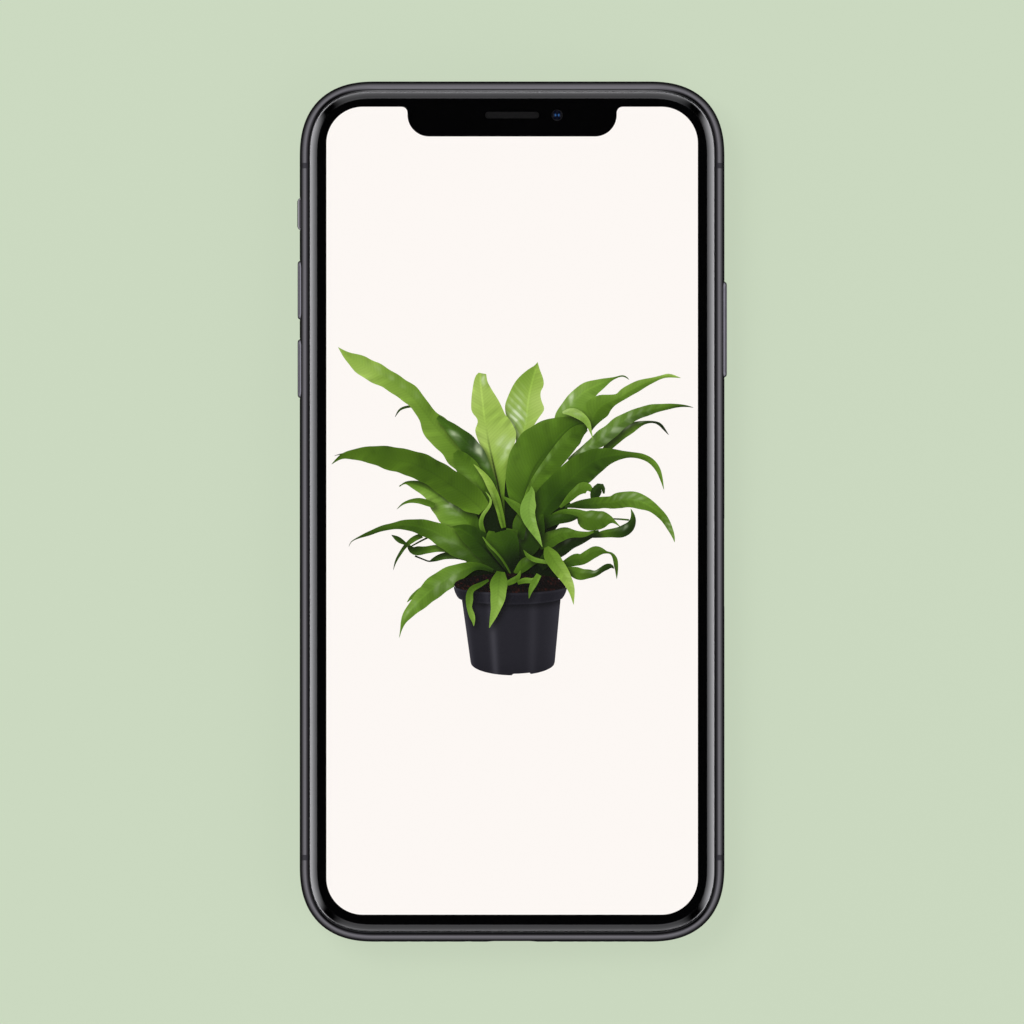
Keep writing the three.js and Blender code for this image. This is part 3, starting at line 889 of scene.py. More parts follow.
def endHoles():
    y0, y1 = -halfLength - 2, -halfLength + 3
    seam = bottom["seam"]
    w, h = bottom["socketWidth"] / 2 + seam, bottom["socketHeight"] / 2 + seam
    holes = [pill("cutter", (-w, y0, middle - h), (w, y1, middle + h), 1, 14)]
    for side in (-1, 1):
        places = [(bottom["screwX"], bottom["screwRadius"] + seam, 32)]
        for i in range(bottom["grilleCount"]):
            places.append((bottom["grilleX"] + i * bottom["grillePitch"], bottom["grilleRadius"], 28))
        for x, radius, sides in places:
            holes.append(drum("cutter", (side * x, 0, middle), 1, y0, y1, radius, sides))
    return holes


def makeFrame():
    whole = makeBand()
    insertLow, insertHigh = spanOf("antenna_insert_upper_left")
    slack = band["slack"]
    inner, outer = insertLow[1] - slack, insertHigh[1] + slack
    for name, side in hands:
        rail = copyOf(whole, "metal" + name)
        keepBetween(rail, 1, -inner, inner)
        keepSide(rail, side)
        boolean(rail, "DIFFERENCE", *sideSlots(side))
        dress(rail, "handset", "frame_metal", stands=["frame_" + name.lower()])
    head = copyOf(whole, "metalTop")
    keepBetween(head, 1, low=outer)
    dress(head, "handset", "frame_metal", stands=["frame_top"])
    foot = copyOf(whole, "metalBottom")
    keepBetween(foot, 1, high=-outer)
    boolean(foot, "DIFFERENCE", *endHoles())
    dress(foot, "handset", "frame_metal", stands=["frame_bottom"])
    for end, way in (("Upper", 1), ("Lower", -1)):
        for name, side in hands:
            insert = copyOf(whole, f"split{end}{name}")
            keepBetween(insert, 1, *sorted((way * (inner + slack), way * (outer - slack))))
            keepSide(insert, side)
            node = f"antenna_insert_{end.lower()}_{name.lower()}"
            dress(insert, "handset", "split_plastic", stands=[node])
    bpy.data.objects.remove(whole)
    print("frame made")


# Picture on the display: a potted fern, as layers of glowing leaf shapes, the lowest layer first

# Every leaf has its rows from base to tip: x, y and half its width, or its left and right half.
# tone is how light it is from base to tip. What it doesn't name is as in leafHabit.
leafHabit = {
    "wave": 0.07,      # how far its edges wander
    "fold": 0.04,      # how much darker its right half is than its left
    "warm": 0.0,
    "rib": 1,          # how plain its midrib is
    "stem": 0.1,       # how dark that is near the base
    "ripple": 0.04,    # how strong the bands across it are
    "period": 2.2,
    "gloss": 0.04,
    "shine": [(0.55, -0.5, 0.16, 0.3)],    # along and across it, and how far it spreads each way
}
backLeaves = [
    {"tone": (0.0, 0.02, 0.1), "gloss": 0.0, "rib": 0, "wave": 0.0, "rows": [
        (-0.2, -12.3, 9.0), (-0.4, -10.9, 8.8), (-0.5, -9.6, 6.9), (-0.6, -6.0, 7.4), (-0.2, 0.0, 6.5),
        (-0.2, 4.0, 3.4), (-0.7, 6.5, 1.5)]},
    {"tone": (0.05, 0.14), "gloss": 0.0, "rib": 0, "rows": [
        (4.4, -4.0, 1.5), (6.2, -1.4, 1.9), (8.0, 0.6, 1.2), (9.6, 1.6, 0.3)]},
    {"tone": (0.6, 0.6, 0.72, 0.56, 0.3), "gloss": 0.75, "shine": [(0.3, -0.5, 0.12, 0.4)], "rows": [
        (7.6, 14.0, 0.9, 1.2), (8.8, 16.4, 1.5, 2.0), (10.2, 18.4, 1.3, 2.5), (11.6, 19.7, 1.4, 2.2),
        (13.3, 20.7, 1.2, 1.6), (14.9, 21.4, 0.8, 0.9), (16.3, 22.0, 0.35), (17.4, 22.4, 0.12),
        (18.4, 22.7, 0.13), (19.1, 22.4, 0.12), (19.5, 22.0, 0.03)]},
    {"tone": (0.34, 0.5, 0.54, 0.62, 0.8), "fold": 0.1, "wave": 0.04, "warm": 0.2, "rows": [
        (13.1, 13.4, 0.15), (13.2, 14.9, 1.4, 1.1), (13.8, 16.6, 2.3, 1.95), (15.0, 17.8, 1.9),
        (16.5, 18.5, 1.1), (17.8, 18.95, 0.7), (18.7, 19.6, 1.0, 0.85), (20.2, 20.55, 0.95),
        (21.9, 21.4, 0.75), (23.8, 22.05, 0.38), (25.0, 22.5, 0.28), (26.2, 22.75, 0.36),
        (28.1, 22.3, 0.03)]},
    {"tone": (0.34, 0.46, 0.5, 0.1, 0.06), "gloss": 0.2, "rows": [
        (15.2, 9.8, 0.4), (16.2, 11.0, 0.8), (17.4, 12.4, 1.0), (19.1, 13.5, 0.95), (20.7, 14.4, 0.65),
        (22.1, 14.9, 0.28), (23.6, 15.0, 0.14), (24.7, 14.6, 0.3), (25.4, 13.7, 0.2),
        (26.1, 12.8, 0.03)]},
    {"tone": (0.6, 0.5, 0.45, 0.43, 0.42, 0.2), "fold": 0.1, "gloss": 0.34,
     "shine": [(0.12, 0.0, 0.07, 0.8), (0.42, 0.0, 0.2, 0.9)], "rows": [
        (9.4, 8.6, 0.2), (10.6, 9.6, 0.35), (12.6, 10.8, 0.7), (14.6, 12.0, 1.4), (16.5, 13.4, 1.25),
        (18.1, 14.9, 1.2), (20.0, 16.0, 0.95), (22.4, 16.9, 0.9), (25.0, 17.4, 0.6), (27.7, 17.7, 0.3),
        (29.2, 17.6, 0.14), (30.2, 17.35, 0.03)]},
    {"tone": (0.44, 0.81, 0.82, 0.74), "gloss": 1.0, "shine": [(0.5, -0.5, 0.15, 0.38)],
     "fold": -0.08, "ripple": 0.02, "period": 1.35, "wave": 0.0, "warm": 0.5, "rows": [
        (1.2, 6.0, 0.5), (1.5, 11.5, 0.8), (1.9, 13.2, 1.5, 1.0), (2.35, 15.0, 3.1, 1.5),
        (2.45, 16.2, 3.6, 2.3), (2.55, 17.4, 3.8, 3.0), (2.75, 18.9, 3.4, 2.1), (3.0, 20.3, 3.0, 1.7),
        (3.3, 21.5, 2.5, 2.1), (3.6, 22.6, 1.8, 1.7), (3.9, 23.6, 1.0, 0.9), (4.1, 24.2, 0.4),
        (4.25, 24.9, 0.03)]},
    {"tone": (0.3, 0.5, 0.8, 0.87, 0.86, 0.84), "gloss": 0.85, "warm": 0.6, "stem": 1.0,
     "wave": 0.0, "shine": [(0.5, 0.62, 0.06, 0.3), (0.97, 0.45, 0.05, 0.3)], "fold": 0.02,
     "period": 2.4, "rows": [
        (-1.35, -2.6, 0.22), (-1.55, -0.2, 0.3), (-1.9, 2.0, 0.35, 0.6), (-2.3, 4.2, 0.4, 1.1),
        (-2.65, 5.9, 0.5, 1.7), (-3.0, 7.4, 0.6, 2.5), (-3.4, 9.2, 1.1, 3.5), (-3.8, 11.0, 1.4, 4.5),
        (-4.1, 12.6, 1.8, 4.9), (-4.3, 14.1, 2.0, 4.3), (-4.6, 15.4, 0.9, 3.6),
        (-4.75, 16.8, 2.1, 3.2), (-4.95, 18.5, 1.9, 2.6), (-5.1, 20.0, 1.6, 1.8),
        (-5.3, 21.6, 1.15, 1.15), (-5.3, 22.6, 0.8, 1.05), (-5.2, 23.1, 0.4, 0.9)]},
    {"tone": (0.3, 0.16), "rib": 0, "rows": [
        (-16.6, 17.6, 0.2), (-18.0, 17.4, 0.22), (-18.9, 16.9, 0.18), (-19.5, 15.8, 0.04)]},
    {"tone": (0.3, 0.54, 0.58, 0.62, 0.78, 0.8), "warm": 0.4, "ripple": 0.04, "period": 3.1,
     "rib": 0, "gloss": 0.15, "shine": [(0.72, 0.4, 0.16, 0.3)], "rows": [
        (-3.0, 3.4, 0.6), (-4.6, 5.4, 1.7), (-7.2, 8.3, 2.5, 2.0), (-8.95, 10.2, 2.6, 2.0),
        (-10.6, 12.0, 2.4, 2.0), (-12.0, 13.4, 2.7, 2.3), (-13.2, 14.7, 2.1, 2.0),
        (-14.0, 15.9, 1.6, 1.5), (-14.9, 17.1, 1.35), (-16.0, 18.5, 1.5), (-17.3, 19.8, 1.6),
        (-18.7, 20.7, 1.55), (-20.2, 21.8, 1.5), (-22.1, 22.8, 1.75), (-24.1, 23.8, 1.75),
        (-26.1, 25.1, 1.3), (-27.7, 26.1, 0.55), (-29.0, 27.4, 0.03)]},
    {"tone": (0.4, 0.34, 0.24, 0.34, 0.4), "gloss": 0.6, "period": 3.1, "warm": -1.2,
     "shine": [(0.4, 0.45, 0.14, 0.45), (0.72, -0.4, 0.07, 0.4)], "rows": [
        (-2.7, 4.4, 0.3), (-3.8, 6.4, 1.0, 0.6), (-5.1, 8.6, 1.4, 1.2), (-6.9, 10.8, 1.5),
        (-8.6, 12.5, 1.35), (-10.4, 14.1, 0.9), (-12.4, 15.8, 0.35)]},
    {"tone": (0.3, 0.52, 0.4), "rib": 0, "rows": [
        (-4.2, 0.8, 0.9), (-5.5, 4.0, 1.5), (-7.0, 6.6, 1.8), (-8.4, 8.6, 1.6), (-9.4, 10.0, 0.5)]},
    {"tone": (0.3, 0.34, 0.36, 0.32, 0.24), "fold": 0.12, "ripple": 0.05, "stem": 0.5,
     "period": 4.2, "gloss": 0.0, "wave": 0.02, "rows": [
        (1.5, 0.2, 1.2, 0.6), (1.9, 1.9, 2.6, 0.8), (2.5, 4.4, 3.8, 1.5), (3.3, 6.6, 4.6, 2.2),
        (4.5, 8.6, 5.0, 2.8), (6.0, 10.4, 5.0, 3.0), (7.9, 12.7, 3.9, 3.4), (9.7, 14.3, 1.8, 3.3),
        (11.4, 15.0, 0.6, 2.3), (12.8, 14.3, 0.05, 0.6)]},
    {"tone": (0.42, 0.5, 0.38, 0.48, 0.24), "ripple": 0.09, "period": 3.0, "rib": 0, "wave": 0.0,
     "gloss": 0.12, "shine": [(0.45, -0.6, 0.2, 0.4)], "rows": [
        (2.2, 1.9, 0.4, 0.7), (3.2, 4.2, 0.6, 1.5), (4.5, 6.2, 0.7, 2.0), (6.0, 8.2, 0.8, 2.1),
        (7.8, 10.5, 0.9, 2.25), (9.6, 12.5, 1.0, 2.05), (11.0, 13.8, 0.8, 1.55),
        (12.3, 14.3, 0.3, 0.9)]},
    {"tone": (0.84, 0.8, 0.76, 0.8), "gloss": 0.6, "shine": [(0.15, 0.0, 0.2, 0.8)], "rib": 0, "rows": [
        (8.4, 16.5, 0.15), (9.4, 16.7, 0.6), (10.5, 16.5, 0.75), (11.6, 15.9, 0.65), (12.6, 14.9, 0.5),
        (13.0, 13.7, 0.22), (13.5, 12.1, 0.03)]},
    {"tone": (0.2, 0.24, 0.32, 0.28, 0.48, 0.58), "fold": 0.05, "ripple": 0.07, "period": 2.9,
     "gloss": 0.0, "wave": 0.02, "rows": [
        (4.2, -1.8, 1.3, 1.0), (5.4, 0.6, 2.7, 1.4), (7.2, 2.8, 2.8, 2.2), (9.0, 4.7, 2.6, 2.4),
        (10.8, 6.4, 2.6), (12.4, 7.7, 2.4, 2.5), (14.4, 8.9, 1.8, 2.1), (16.3, 9.4, 1.2, 1.4),
        (18.2, 9.5, 0.7), (19.9, 9.5, 0.45), (21.7, 9.25, 0.5), (23.2, 8.5, 0.5), (24.3, 7.2, 0.45),
        (24.9, 5.5, 0.25), (25.3, 3.7, 0.03)]},
    {"tone": (0.46, 0.42, 0.5), "rib": 0, "wave": 0.12, "rows": [
        (8.0, 0.7, 0.2), (9.3, 2.0, 0.5), (10.6, 3.3, 0.8), (11.8, 4.2, 0.9, 1.2),
        (12.9, 4.2, 0.5, 1.0), (13.3, 3.4, 0.3)]},
    {"tone": (0.16, 0.14), "rib": 0, "rows": [
        (13.6, 1.9, 0.5), (13.9, 3.2, 0.95), (14.7, 4.3, 0.7), (15.2, 4.0, 0.35), (15.3, 3.0, 0.15)]},
    {"tone": (0.2, 0.26, 0.4, 0.54, 0.51, 0.5, 0.6), "ripple": 0.05, "gloss": 0.5, "period": 1.3,
     "shine": [(0.5, -0.5, 0.08, 0.35), (0.9, 0.0, 0.06, 0.8)], "wave": 0.05, "rows": [
        (8.8, 0.8, 0.15), (9.9, 1.0, 0.4), (11.0, 1.15, 0.65), (12.4, 1.3, 0.85), (14.0, 1.35, 1.0),
        (15.4, 1.6, 0.95), (16.7, 1.5, 1.1), (17.6, 1.85, 1.35), (18.9, 2.1, 1.3), (20.3, 2.0, 1.35),
        (22.0, 1.5, 1.2), (23.6, 0.6, 0.8), (25.1, -0.7, 0.7), (26.2, -2.5, 0.5), (26.9, -4.1, 0.25),
        (27.1, -5.1, 0.03)]},
    {"tone": (0.2, 0.34, 0.26), "rib": 0, "rows": [
        (16.5, -1.2, 0.1), (18.0, -1.25, 0.15), (19.5, -1.4, 0.15)]},
    {"tone": (0.34, 0.46, 0.42, 0.44, 0.5), "gloss": 0.3, "wave": 0.05, "rib": 0, "rows": [
        (6.8, -0.7, 0.35), (8.2, -0.1, 0.5), (9.8, 0.05, 0.5), (11.2, -0.3, 0.7, 0.7),
        (12.0, -1.0, 1.2, 1.7), (13.0, -1.3, 1.5, 2.0), (14.2, -1.4, 1.5, 1.8), (15.3, -1.4, 1.5, 1.4),
        (16.3, -1.4, 0.8, 0.6), (17.1, -1.7, 0.2), (18.2, -2.7, 0.03)]},
    {"tone": (0.34, 0.4, 0.24, 0.14, 0.2, 0.46), "gloss": 0.3, "wave": 0.06, "rib": 0, "rows": [
        (13.4, -4.1, 0.3), (15.2, -3.7, 0.6, 0.65), (16.8, -3.5, 0.7, 0.85), (18.4, -3.4, 0.95, 1.0),
        (19.6, -2.7, 1.0, 0.9), (20.2, -1.6, 0.6, 0.5), (20.2, -0.6, 0.35, 0.3), (19.8, 0.5, 0.03)]},
    {"tone": (0.06, 0.14, 0.1, 0.2), "rows": [
        (4.6, -9.2, 0.8), (6.4, -7.4, 1.2), (8.2, -6.1, 1.3), (9.8, -5.2, 1.1), (11.4, -4.6, 0.85),
        (13.0, -3.9, 0.65), (14.5, -3.3, 0.25)]},
    {"tone": (0.3, 0.44, 0.4, 0.5), "wave": 0.16, "rib": 0, "rows": [
        (4.4, -5.8, 0.7), (5.8, -4.9, 1.2), (7.4, -4.0, 1.3), (8.8, -3.5, 1.0), (10.2, -3.7, 0.7),
        (11.9, -3.9, 0.45), (13.6, -3.4, 0.15)]},
    {"tone": (0.14, 0.2, 0.1), "rows": [
        (4.4, -2.4, 0.9), (6.2, -1.6, 1.0), (8.0, -1.1, 0.9), (9.8, -1.1, 0.7), (11.0, -1.0, 0.1)]},
    {"tone": (0.3, 0.42, 0.36), "wave": 0.15, "rib": 0, "rows": [
        (8.0, -9.4, 0.5), (9.4, -8.4, 0.8), (10.5, -8.0, 1.1), (11.6, -8.1, 0.8), (12.6, -7.3, 0.9),
        (13.8, -6.7, 1.0), (14.9, -6.5, 0.6), (15.8, -6.8, 0.15), (16.6, -6.9, 0.22),
        (17.2, -7.9, 0.42), (17.4, -9.3, 0.35), (17.45, -11.2, 0.03)]},
    {"tone": (0.4, 0.44, 0.2, 0.16), "wave": 0.18, "gloss": 0.3, "rib": 0, "rows": [
        (8.8, -9.6, 0.6), (10.3, -10.1, 0.9), (11.6, -10.5, 0.95), (12.8, -10.4, 0.75),
        (13.9, -10.4, 0.4), (14.8, -9.7, 0.45), (15.7, -9.2, 0.6), (16.6, -9.0, 0.35),
        (17.0, -9.5, 0.05)]},
    {"tone": (0.25, 0.47, 0.56, 0.57, 0.34), "gloss": 0.7, "shine": [(0.42, 0.0, 0.07, 0.3)],
     "ripple": 0.06, "fold": 0.14, "period": 1.7, "rows": [
        (-5.0, -4.6, 1.2), (-7.4, -1.9, 2.6, 2.0), (-9.6, 0.3, 3.2, 2.3), (-11.8, 2.2, 2.5, 2.0),
        (-14.3, 3.7, 1.1), (-16.4, 4.5, 0.75), (-17.7, 4.9, 0.2), (-18.4, 4.5, 0.08),
        (-18.8, 4.2, 0.1)]},
    {"tone": (0.42, 0.5, 0.3), "rows": [
        (-12.9, 1.0, 0.4), (-14.2, 1.5, 0.55), (-15.6, 1.85, 0.5), (-17.0, 1.8, 0.3),
        (-18.3, 1.3, 0.15), (-19.2, 0.4, 0.03)]},
    {"tone": (0.3, 0.1), "rib": 0, "rows": [
        (-28.3, 9.6, 0.15), (-29.0, 9.5, 0.06), (-29.6, 9.3, 0.04)]},
    {"tone": (0.48, 0.32, 0.36, 0.4, 0.4), "fold": 0.02, "ripple": 0.06, "period": 3.6,
     "wave": 0.05, "rib": 0, "gloss": 0.0, "warm": 0.4, "rows": [
        (-4.9, 0.1, 0.9, 1.6), (-6.2, 1.5, 2.2), (-8.0, 2.9, 2.4), (-10.0, 4.3, 2.4),
        (-11.6, 5.4, 2.3), (-13.6, 6.7, 2.25), (-15.6, 7.7, 2.3), (-17.8, 8.4, 2.05),
        (-20.4, 8.8, 2.0, 2.1), (-22.7, 9.4, 1.6), (-25.0, 9.6, 1.15), (-27.3, 9.5, 0.7),
        (-28.7, 9.1, 0.35), (-30.1, 7.9, 0.03)]},
    {"tone": (0.46, 0.7, 0.8), "warm": 0.5, "stem": 0.4, "rows": [
        (-1.4, -2.7, 0.4), (-2.2, 0.7, 0.6), (-3.2, 3.6, 0.7), (-4.5, 6.0, 0.5), (-6.4, 7.9, 0.05)]},
    {"tone": (0.44, 0.7, 0.8), "rib": 0, "rows": [
        (-4.7, -3.6, 0.35), (-5.3, -2.0, 0.4), (-4.9, -0.5, 0.3), (-3.8, 0.8, 0.25), (-3.4, 2.0, 0.2),
        (-4.4, 3.3, 0.03)]},
    {"tone": (0.28, 0.3, 0.24), "rib": 0, "rows": [
        (-6.2, -8.2, 0.4), (-9.0, -7.4, 0.5), (-11.0, -7.3, 0.6), (-12.6, -7.8, 0.5),
        (-13.7, -8.3, 0.12)]},
    {"tone": (0.14, 0.1), "rib": 0, "rows": [
        (-16.2, -7.4, 0.14), (-14.6, -8.05, 0.12), (-13.8, -8.35, 0.12), (-12.8, -8.1, 0.15)]},
    {"tone": (0.4, 0.46, 0.3, 0.2), "rib": 0, "rows": [
        (-9.8, -6.6, 0.4), (-11.0, -6.3, 0.45), (-12.7, -6.1, 0.6), (-14.3, -6.4, 0.6),
        (-15.7, -6.6, 0.85), (-16.7, -6.5, 0.6), (-17.5, -5.4, 0.15)]},
    {"tone": (0.2, 0.3), "rib": 0, "rows": [
        (-13.6, -4.1, 0.15), (-15.4, -5.0, 0.15), (-17.2, -6.0, 0.1)]},
    {"tone": (0.4, 0.44, 0.2, 0.2), "rib": 0, "rows": [
        (-15.0, -4.0, 0.4), (-16.4, -4.5, 0.5), (-17.7, -5.6, 0.3), (-18.5, -6.7, 0.28),
        (-19.4, -8.2, 0.18), (-19.8, -9.7, 0.03)]},
    {"tone": (0.2, 0.26), "rib": 0, "rows": [
        (-17.5, -5.5, 0.15), (-18.4, -5.0, 0.45), (-19.2, -4.5, 0.45), (-20.1, -3.9, 0.05)]},
    {"tone": (0.08, 0.3, 0.46, 0.34, 0.3, 0.2), "gloss": 0.12, "shine": [(0.36, -0.3, 0.1, 0.5)],
     "fold": -0.04, "period": 3.4, "rows": [
        (-1.0, -10.5, 0.6), (-4.0, -8.4, 1.3), (-7.3, -6.6, 1.8), (-9.05, -5.5, 2.0),
        (-11.1, -4.3, 1.9), (-13.2, -3.2, 1.6), (-15.3, -2.5, 1.25), (-17.7, -2.1, 0.85),
        (-19.9, -2.4, 0.55), (-21.8, -2.8, 0.48), (-24.0, -3.7, 0.35), (-25.8, -4.4, 0.12),
        (-26.9, -5.0, 0.06), (-27.2, -5.8, 0.03)]},
    {"tone": (0.04, 0.05, 0.23, 0.32), "gloss": 0.0, "stem": 0.85, "rows": [
        (-0.4, -10.8, 0.4), (-2.2, -8.7, 1.4), (-4.4, -6.2, 2.0), (-6.5, -4.2, 1.9), (-8.4, -3.0, 1.1),
        (-10.0, -2.5, 0.03)]},
    {"tone": (0.04, 0.16, 0.3), "rows": [
        (0.4, -9.4, 1.2), (2.1, -5.6, 2.4), (3.4, -3.3, 2.2), (4.4, -1.7, 1.2), (5.2, -0.4, 0.03)]},
    {"tone": (0.24, 0.34), "rows": [
        (1.0, -4.6, 0.9), (1.2, -2.6, 1.2), (1.6, -0.8, 1.0), (1.9, 0.6, 0.3)]},
    {"tone": (0.3, 0.34), "rib": 0, "rows": [(-0.4, -5.6, 0.9), (-0.2, -4.2, 1.1), (0.0, -2.9, 0.9)]},
    {"tone": (0.3, 0.34), "rib": 0, "rows": [
        (-3.4, -5.0, 0.9), (-3.5, -3.9, 0.8), (-3.4, -3.25, 0.45)]},
    {"tone": (0.3, 0.34), "rib": 0, "rows": [(-1.5, -5.0, 0.9), (-1.5, -3.9, 0.8), (-1.4, -3.3, 0.5)]},
    {"tone": (0.0, 0.08, 0.2, 0.3), "ripple": 0.03, "wave": 0.0, "rib": 0.3, "gloss": 0.0, "rows": [
        (0.3, -10.8, 0.3), (-0.4, -8.8, 1.3, 1.7), (-1.2, -6.6, 2.1, 2.6), (-1.8, -5.0, 2.6, 2.9),
        (-2.1, -4.3, 2.6, 2.7), (-2.2, -3.7, 2.2, 2.3), (-2.3, -3.4, 1.5, 1.6)]},
    {"tone": (0.3, 0.44, 0.54), "rib": 0, "rows": [
        (-0.1, -10.7, 0.1), (-0.8, -9.3, 0.16), (-1.7, -7.9, 0.18), (-2.7, -6.7, 0.2),
        (-3.9, -5.6, 0.22), (-4.9, -4.2, 0.08)]},
    {"tone": (0.3, 0.36), "rows": [
        (0.6, -10.4, 0.5), (1.9, -8.9, 1.1), (3.2, -8.2, 0.9), (4.6, -8.1, 0.3)]},
    {"tone": (0.44, 0.5), "rib": 0, "rows": [
        (-1.5, 2.5, 0.1), (0.0, 1.4, 0.6), (1.6, 0.1, 0.8), (3.0, -1.9, 0.7), (4.2, -4.2, 0.3)]},
    {"tone": (0.66, 0.72, 0.76, 0.72), "gloss": 0.1, "rib": 0, "wave": 0.04, "warm": -0.6, "rows": [
        (3.2, 4.2, 0.05), (3.4, 3.3, 0.45, 0.6), (3.0, 2.2, 0.85, 1.0), (2.75, 1.0, 1.35, 1.4),
        (2.75, -0.2, 1.0, 1.5), (3.2, -2.0, 0.85, 1.05), (4.2, -4.0, 0.5), (5.05, -5.9, 0.03)]},
    {"tone": (0.2, 0.4, 0.5, 0.5), "gloss": 0.2, "rib": 0, "rows": [
        (-10.6, -10.9, 0.3), (-13.0, -12.0, 0.6), (-15.2, -13.2, 0.6), (-16.7, -14.2, 0.35),
        (-17.5, -15.1, 0.04)]},
    {"tone": (0.12, 0.4, 0.54, 0.54, 0.62, 0.56), "gloss": 0.24, "period": 2.9,
     "shine": [(0.4, -0.3, 0.12, 0.5), (0.78, 0.2, 0.08, 0.4)], "fold": -0.06, "wave": 0.06, "rows": [
        (-3.2, -9.9, 0.3), (-5.0, -9.1, 0.5), (-6.7, -9.1, 0.8), (-9.05, -10.1, 1.5),
        (-11.0, -11.2, 1.75), (-13.0, -12.6, 1.8), (-14.6, -14.0, 1.75, 1.5),
        (-16.1, -15.4, 1.45, 1.0), (-17.3, -16.8, 1.0, 0.8), (-18.1, -18.2, 0.5), (-18.5, -19.6, 0.15),
        (-18.8, -21.0, 0.03)]},
]
frontLeaves = [
    {"tone": (0.3, 0.44, 0.6, 0.7), "wave": 0.15, "rib": 0, "rows": [
        (-3.9, -11.4, 0.2), (-5.5, -12.3, 0.35), (-6.7, -12.8, 0.55), (-7.15, -13.7, 0.55),
        (-7.1, -14.9, 0.65), (-7.2, -16.0, 0.5), (-6.7, -17.3, 0.5), (-6.4, -18.4, 0.25),
        (-6.4, -19.1, 0.03)]},
    {"tone": (0.42, 0.64, 0.76, 0.78), "gloss": 0.1, "wave": 0.08, "rib": 0, "rows": [
        (-1.9, -10.0, 0.7), (-2.2, -11.8, 1.6), (-2.3, -13.9, 1.35), (-2.6, -15.8, 0.9),
        (-3.2, -17.6, 0.5), (-3.8, -19.4, 0.03)]},
    {"tone": (0.5, 0.4, 0.5), "rib": 0, "rows": [
        (-0.8, -12.0, 0.4), (0.2, -11.5, 0.55), (1.1, -10.9, 0.4), (1.4, -9.8, 0.04)]},
    {"tone": (0.36, 0.6, 0.56), "rib": 0, "rows": [
        (0.9, -11.9, 0.3), (2.1, -11.4, 0.55), (3.4, -11.6, 0.4), (4.4, -10.8, 0.15)]},
    {"tone": (0.56, 0.6, 0.5), "rib": 0, "rows": [
        (4.5, -10.5, 0.45), (3.7, -11.9, 0.6), (3.1, -13.0, 0.4), (2.8, -14.5, 0.03)]},
    {"tone": (0.5, 0.6), "rib": 0, "rows": [
        (1.9, -6.4, 0.05), (2.6, -7.4, 0.35), (3.8, -8.1, 0.4), (5.1, -8.3, 0.35), (6.2, -8.6, 0.2)]},
    {"tone": (0.46, 0.66, 0.8, 0.84), "gloss": 0.08, "wave": 0.04, "rib": 0, "warm": 0.4, "rows": [
        (5.7, -5.9, 0.4), (6.2, -7.0, 1.15), (7.1, -8.4, 1.3), (8.3, -10.0, 1.1), (9.4, -11.7, 0.85),
        (10.0, -13.3, 0.5), (10.25, -15.5, 0.03)]},
]


def leafRows(rows):
    # cuts the corners of the rows till they curve, and adds how far along each one lies
    rows = np.array([(*row, row[-1]) if len(row) == 3 else row for row in rows])
    for turn in range(4):
        early = 0.75 * rows[:-1] + 0.25 * rows[1:]
        late = 0.25 * rows[:-1] + 0.75 * rows[1:]
        pairs = np.stack([early, late], axis=1).reshape(-1, 4)
        rows = np.vstack([rows[:1], pairs, rows[-1:]])
    steps = np.hypot(*np.diff(rows[:, :2], axis=0).T)
    return rows, np.concatenate([[0.0], np.cumsum(steps)])


def greenAt(level, warm):
    level = np.clip(level, 0.0, 1.0)
    channels = zip(*picture["greens"])
    colour = np.stack([np.interp(level, picture["levels"], c) for c in channels], axis=-1)
    return colour + warm * level[..., None] * np.array(picture["warmth"])


def hump(value, centre, width):
    return np.exp(-((value - centre) / width) ** 2)


def leafLayer(leaf, chance):
    leaf = {**leafHabit, **leaf}
    rows, reach = leafRows(leaf["rows"])
    length = reach[-1]
    phases = [chance.uniform(0, 6.28) for i in range(6)]

    def wander(half, along, fast, slow, first):
        swing = np.sin(fast * along + phases[first]) * np.sin(slow * along + phases[first + 1])
        return half * (1 + leaf["wave"] * swing)

    def sample(t, v):
        along = t * length
        x, y, left, right = (np.interp(along, reach, rows[:, i]) for i in range(4))
        tangent = np.stack([np.gradient(x, along), np.gradient(y, along)])
        tangent = tangent / np.maximum(np.hypot(*tangent), 1e-6)
        left = wander(left, along, 1.35, 0.6, 0)
        right = wander(right, along, 1.2, 0.7, 2)
        across = np.where(v[None, :] < 0, left[:, None], right[:, None]) * v[None, :]
        x = x[:, None] + tangent[1][:, None] * across
        y = y[:, None] - tangent[0][:, None] * across
        level = np.interp(t, np.linspace(0, 1, len(leaf["tone"])), leaf["tone"])
        wide = np.clip(left + right - 0.8, 0, 1)[:, None]
        t, v, along, level = t[:, None], v[None, :], along[:, None], level[:, None]
        level = level - leaf["fold"] * (0.5 * np.tanh(4 * v) + 0.5 * v)
        level = level + 0.03 * np.sin(0.8 * along + phases[5]) + 0.03 * abs(v) ** 8
        beat = 6.28 * (along - 0.85 * abs(across)) / leaf["period"]
        beat = beat + 1.6 * np.sin(0.5 * along + phases[4]) + 0.9 * np.tanh(5 * v)
        swell = 0.5 + 0.5 * np.sin(0.9 * along + phases[5] + 2.6 * v)
        ripple = 4.4 * leaf["ripple"] * swell * (0.3 + 0.7 * abs(v))
        shine = sum(hump(t, a, p) * hump(v, b, q) for a, b, p, q in leaf["shine"])
        shine = leaf["gloss"] * np.clip(shine, 0, 1)
        rib = 0.22 * wide * leaf["rib"] - leaf["stem"] * np.clip(2.2 - 3 * t, 0, 1)
        marks = np.stack([rib + 0 * v, shine, ripple, beat], axis=-1)
        return x, y, greenAt(level, leaf["warm"]), marks, across, along + 0 * v

    return sample, max(int(length / picture["face"]), 3), picture["columns"]


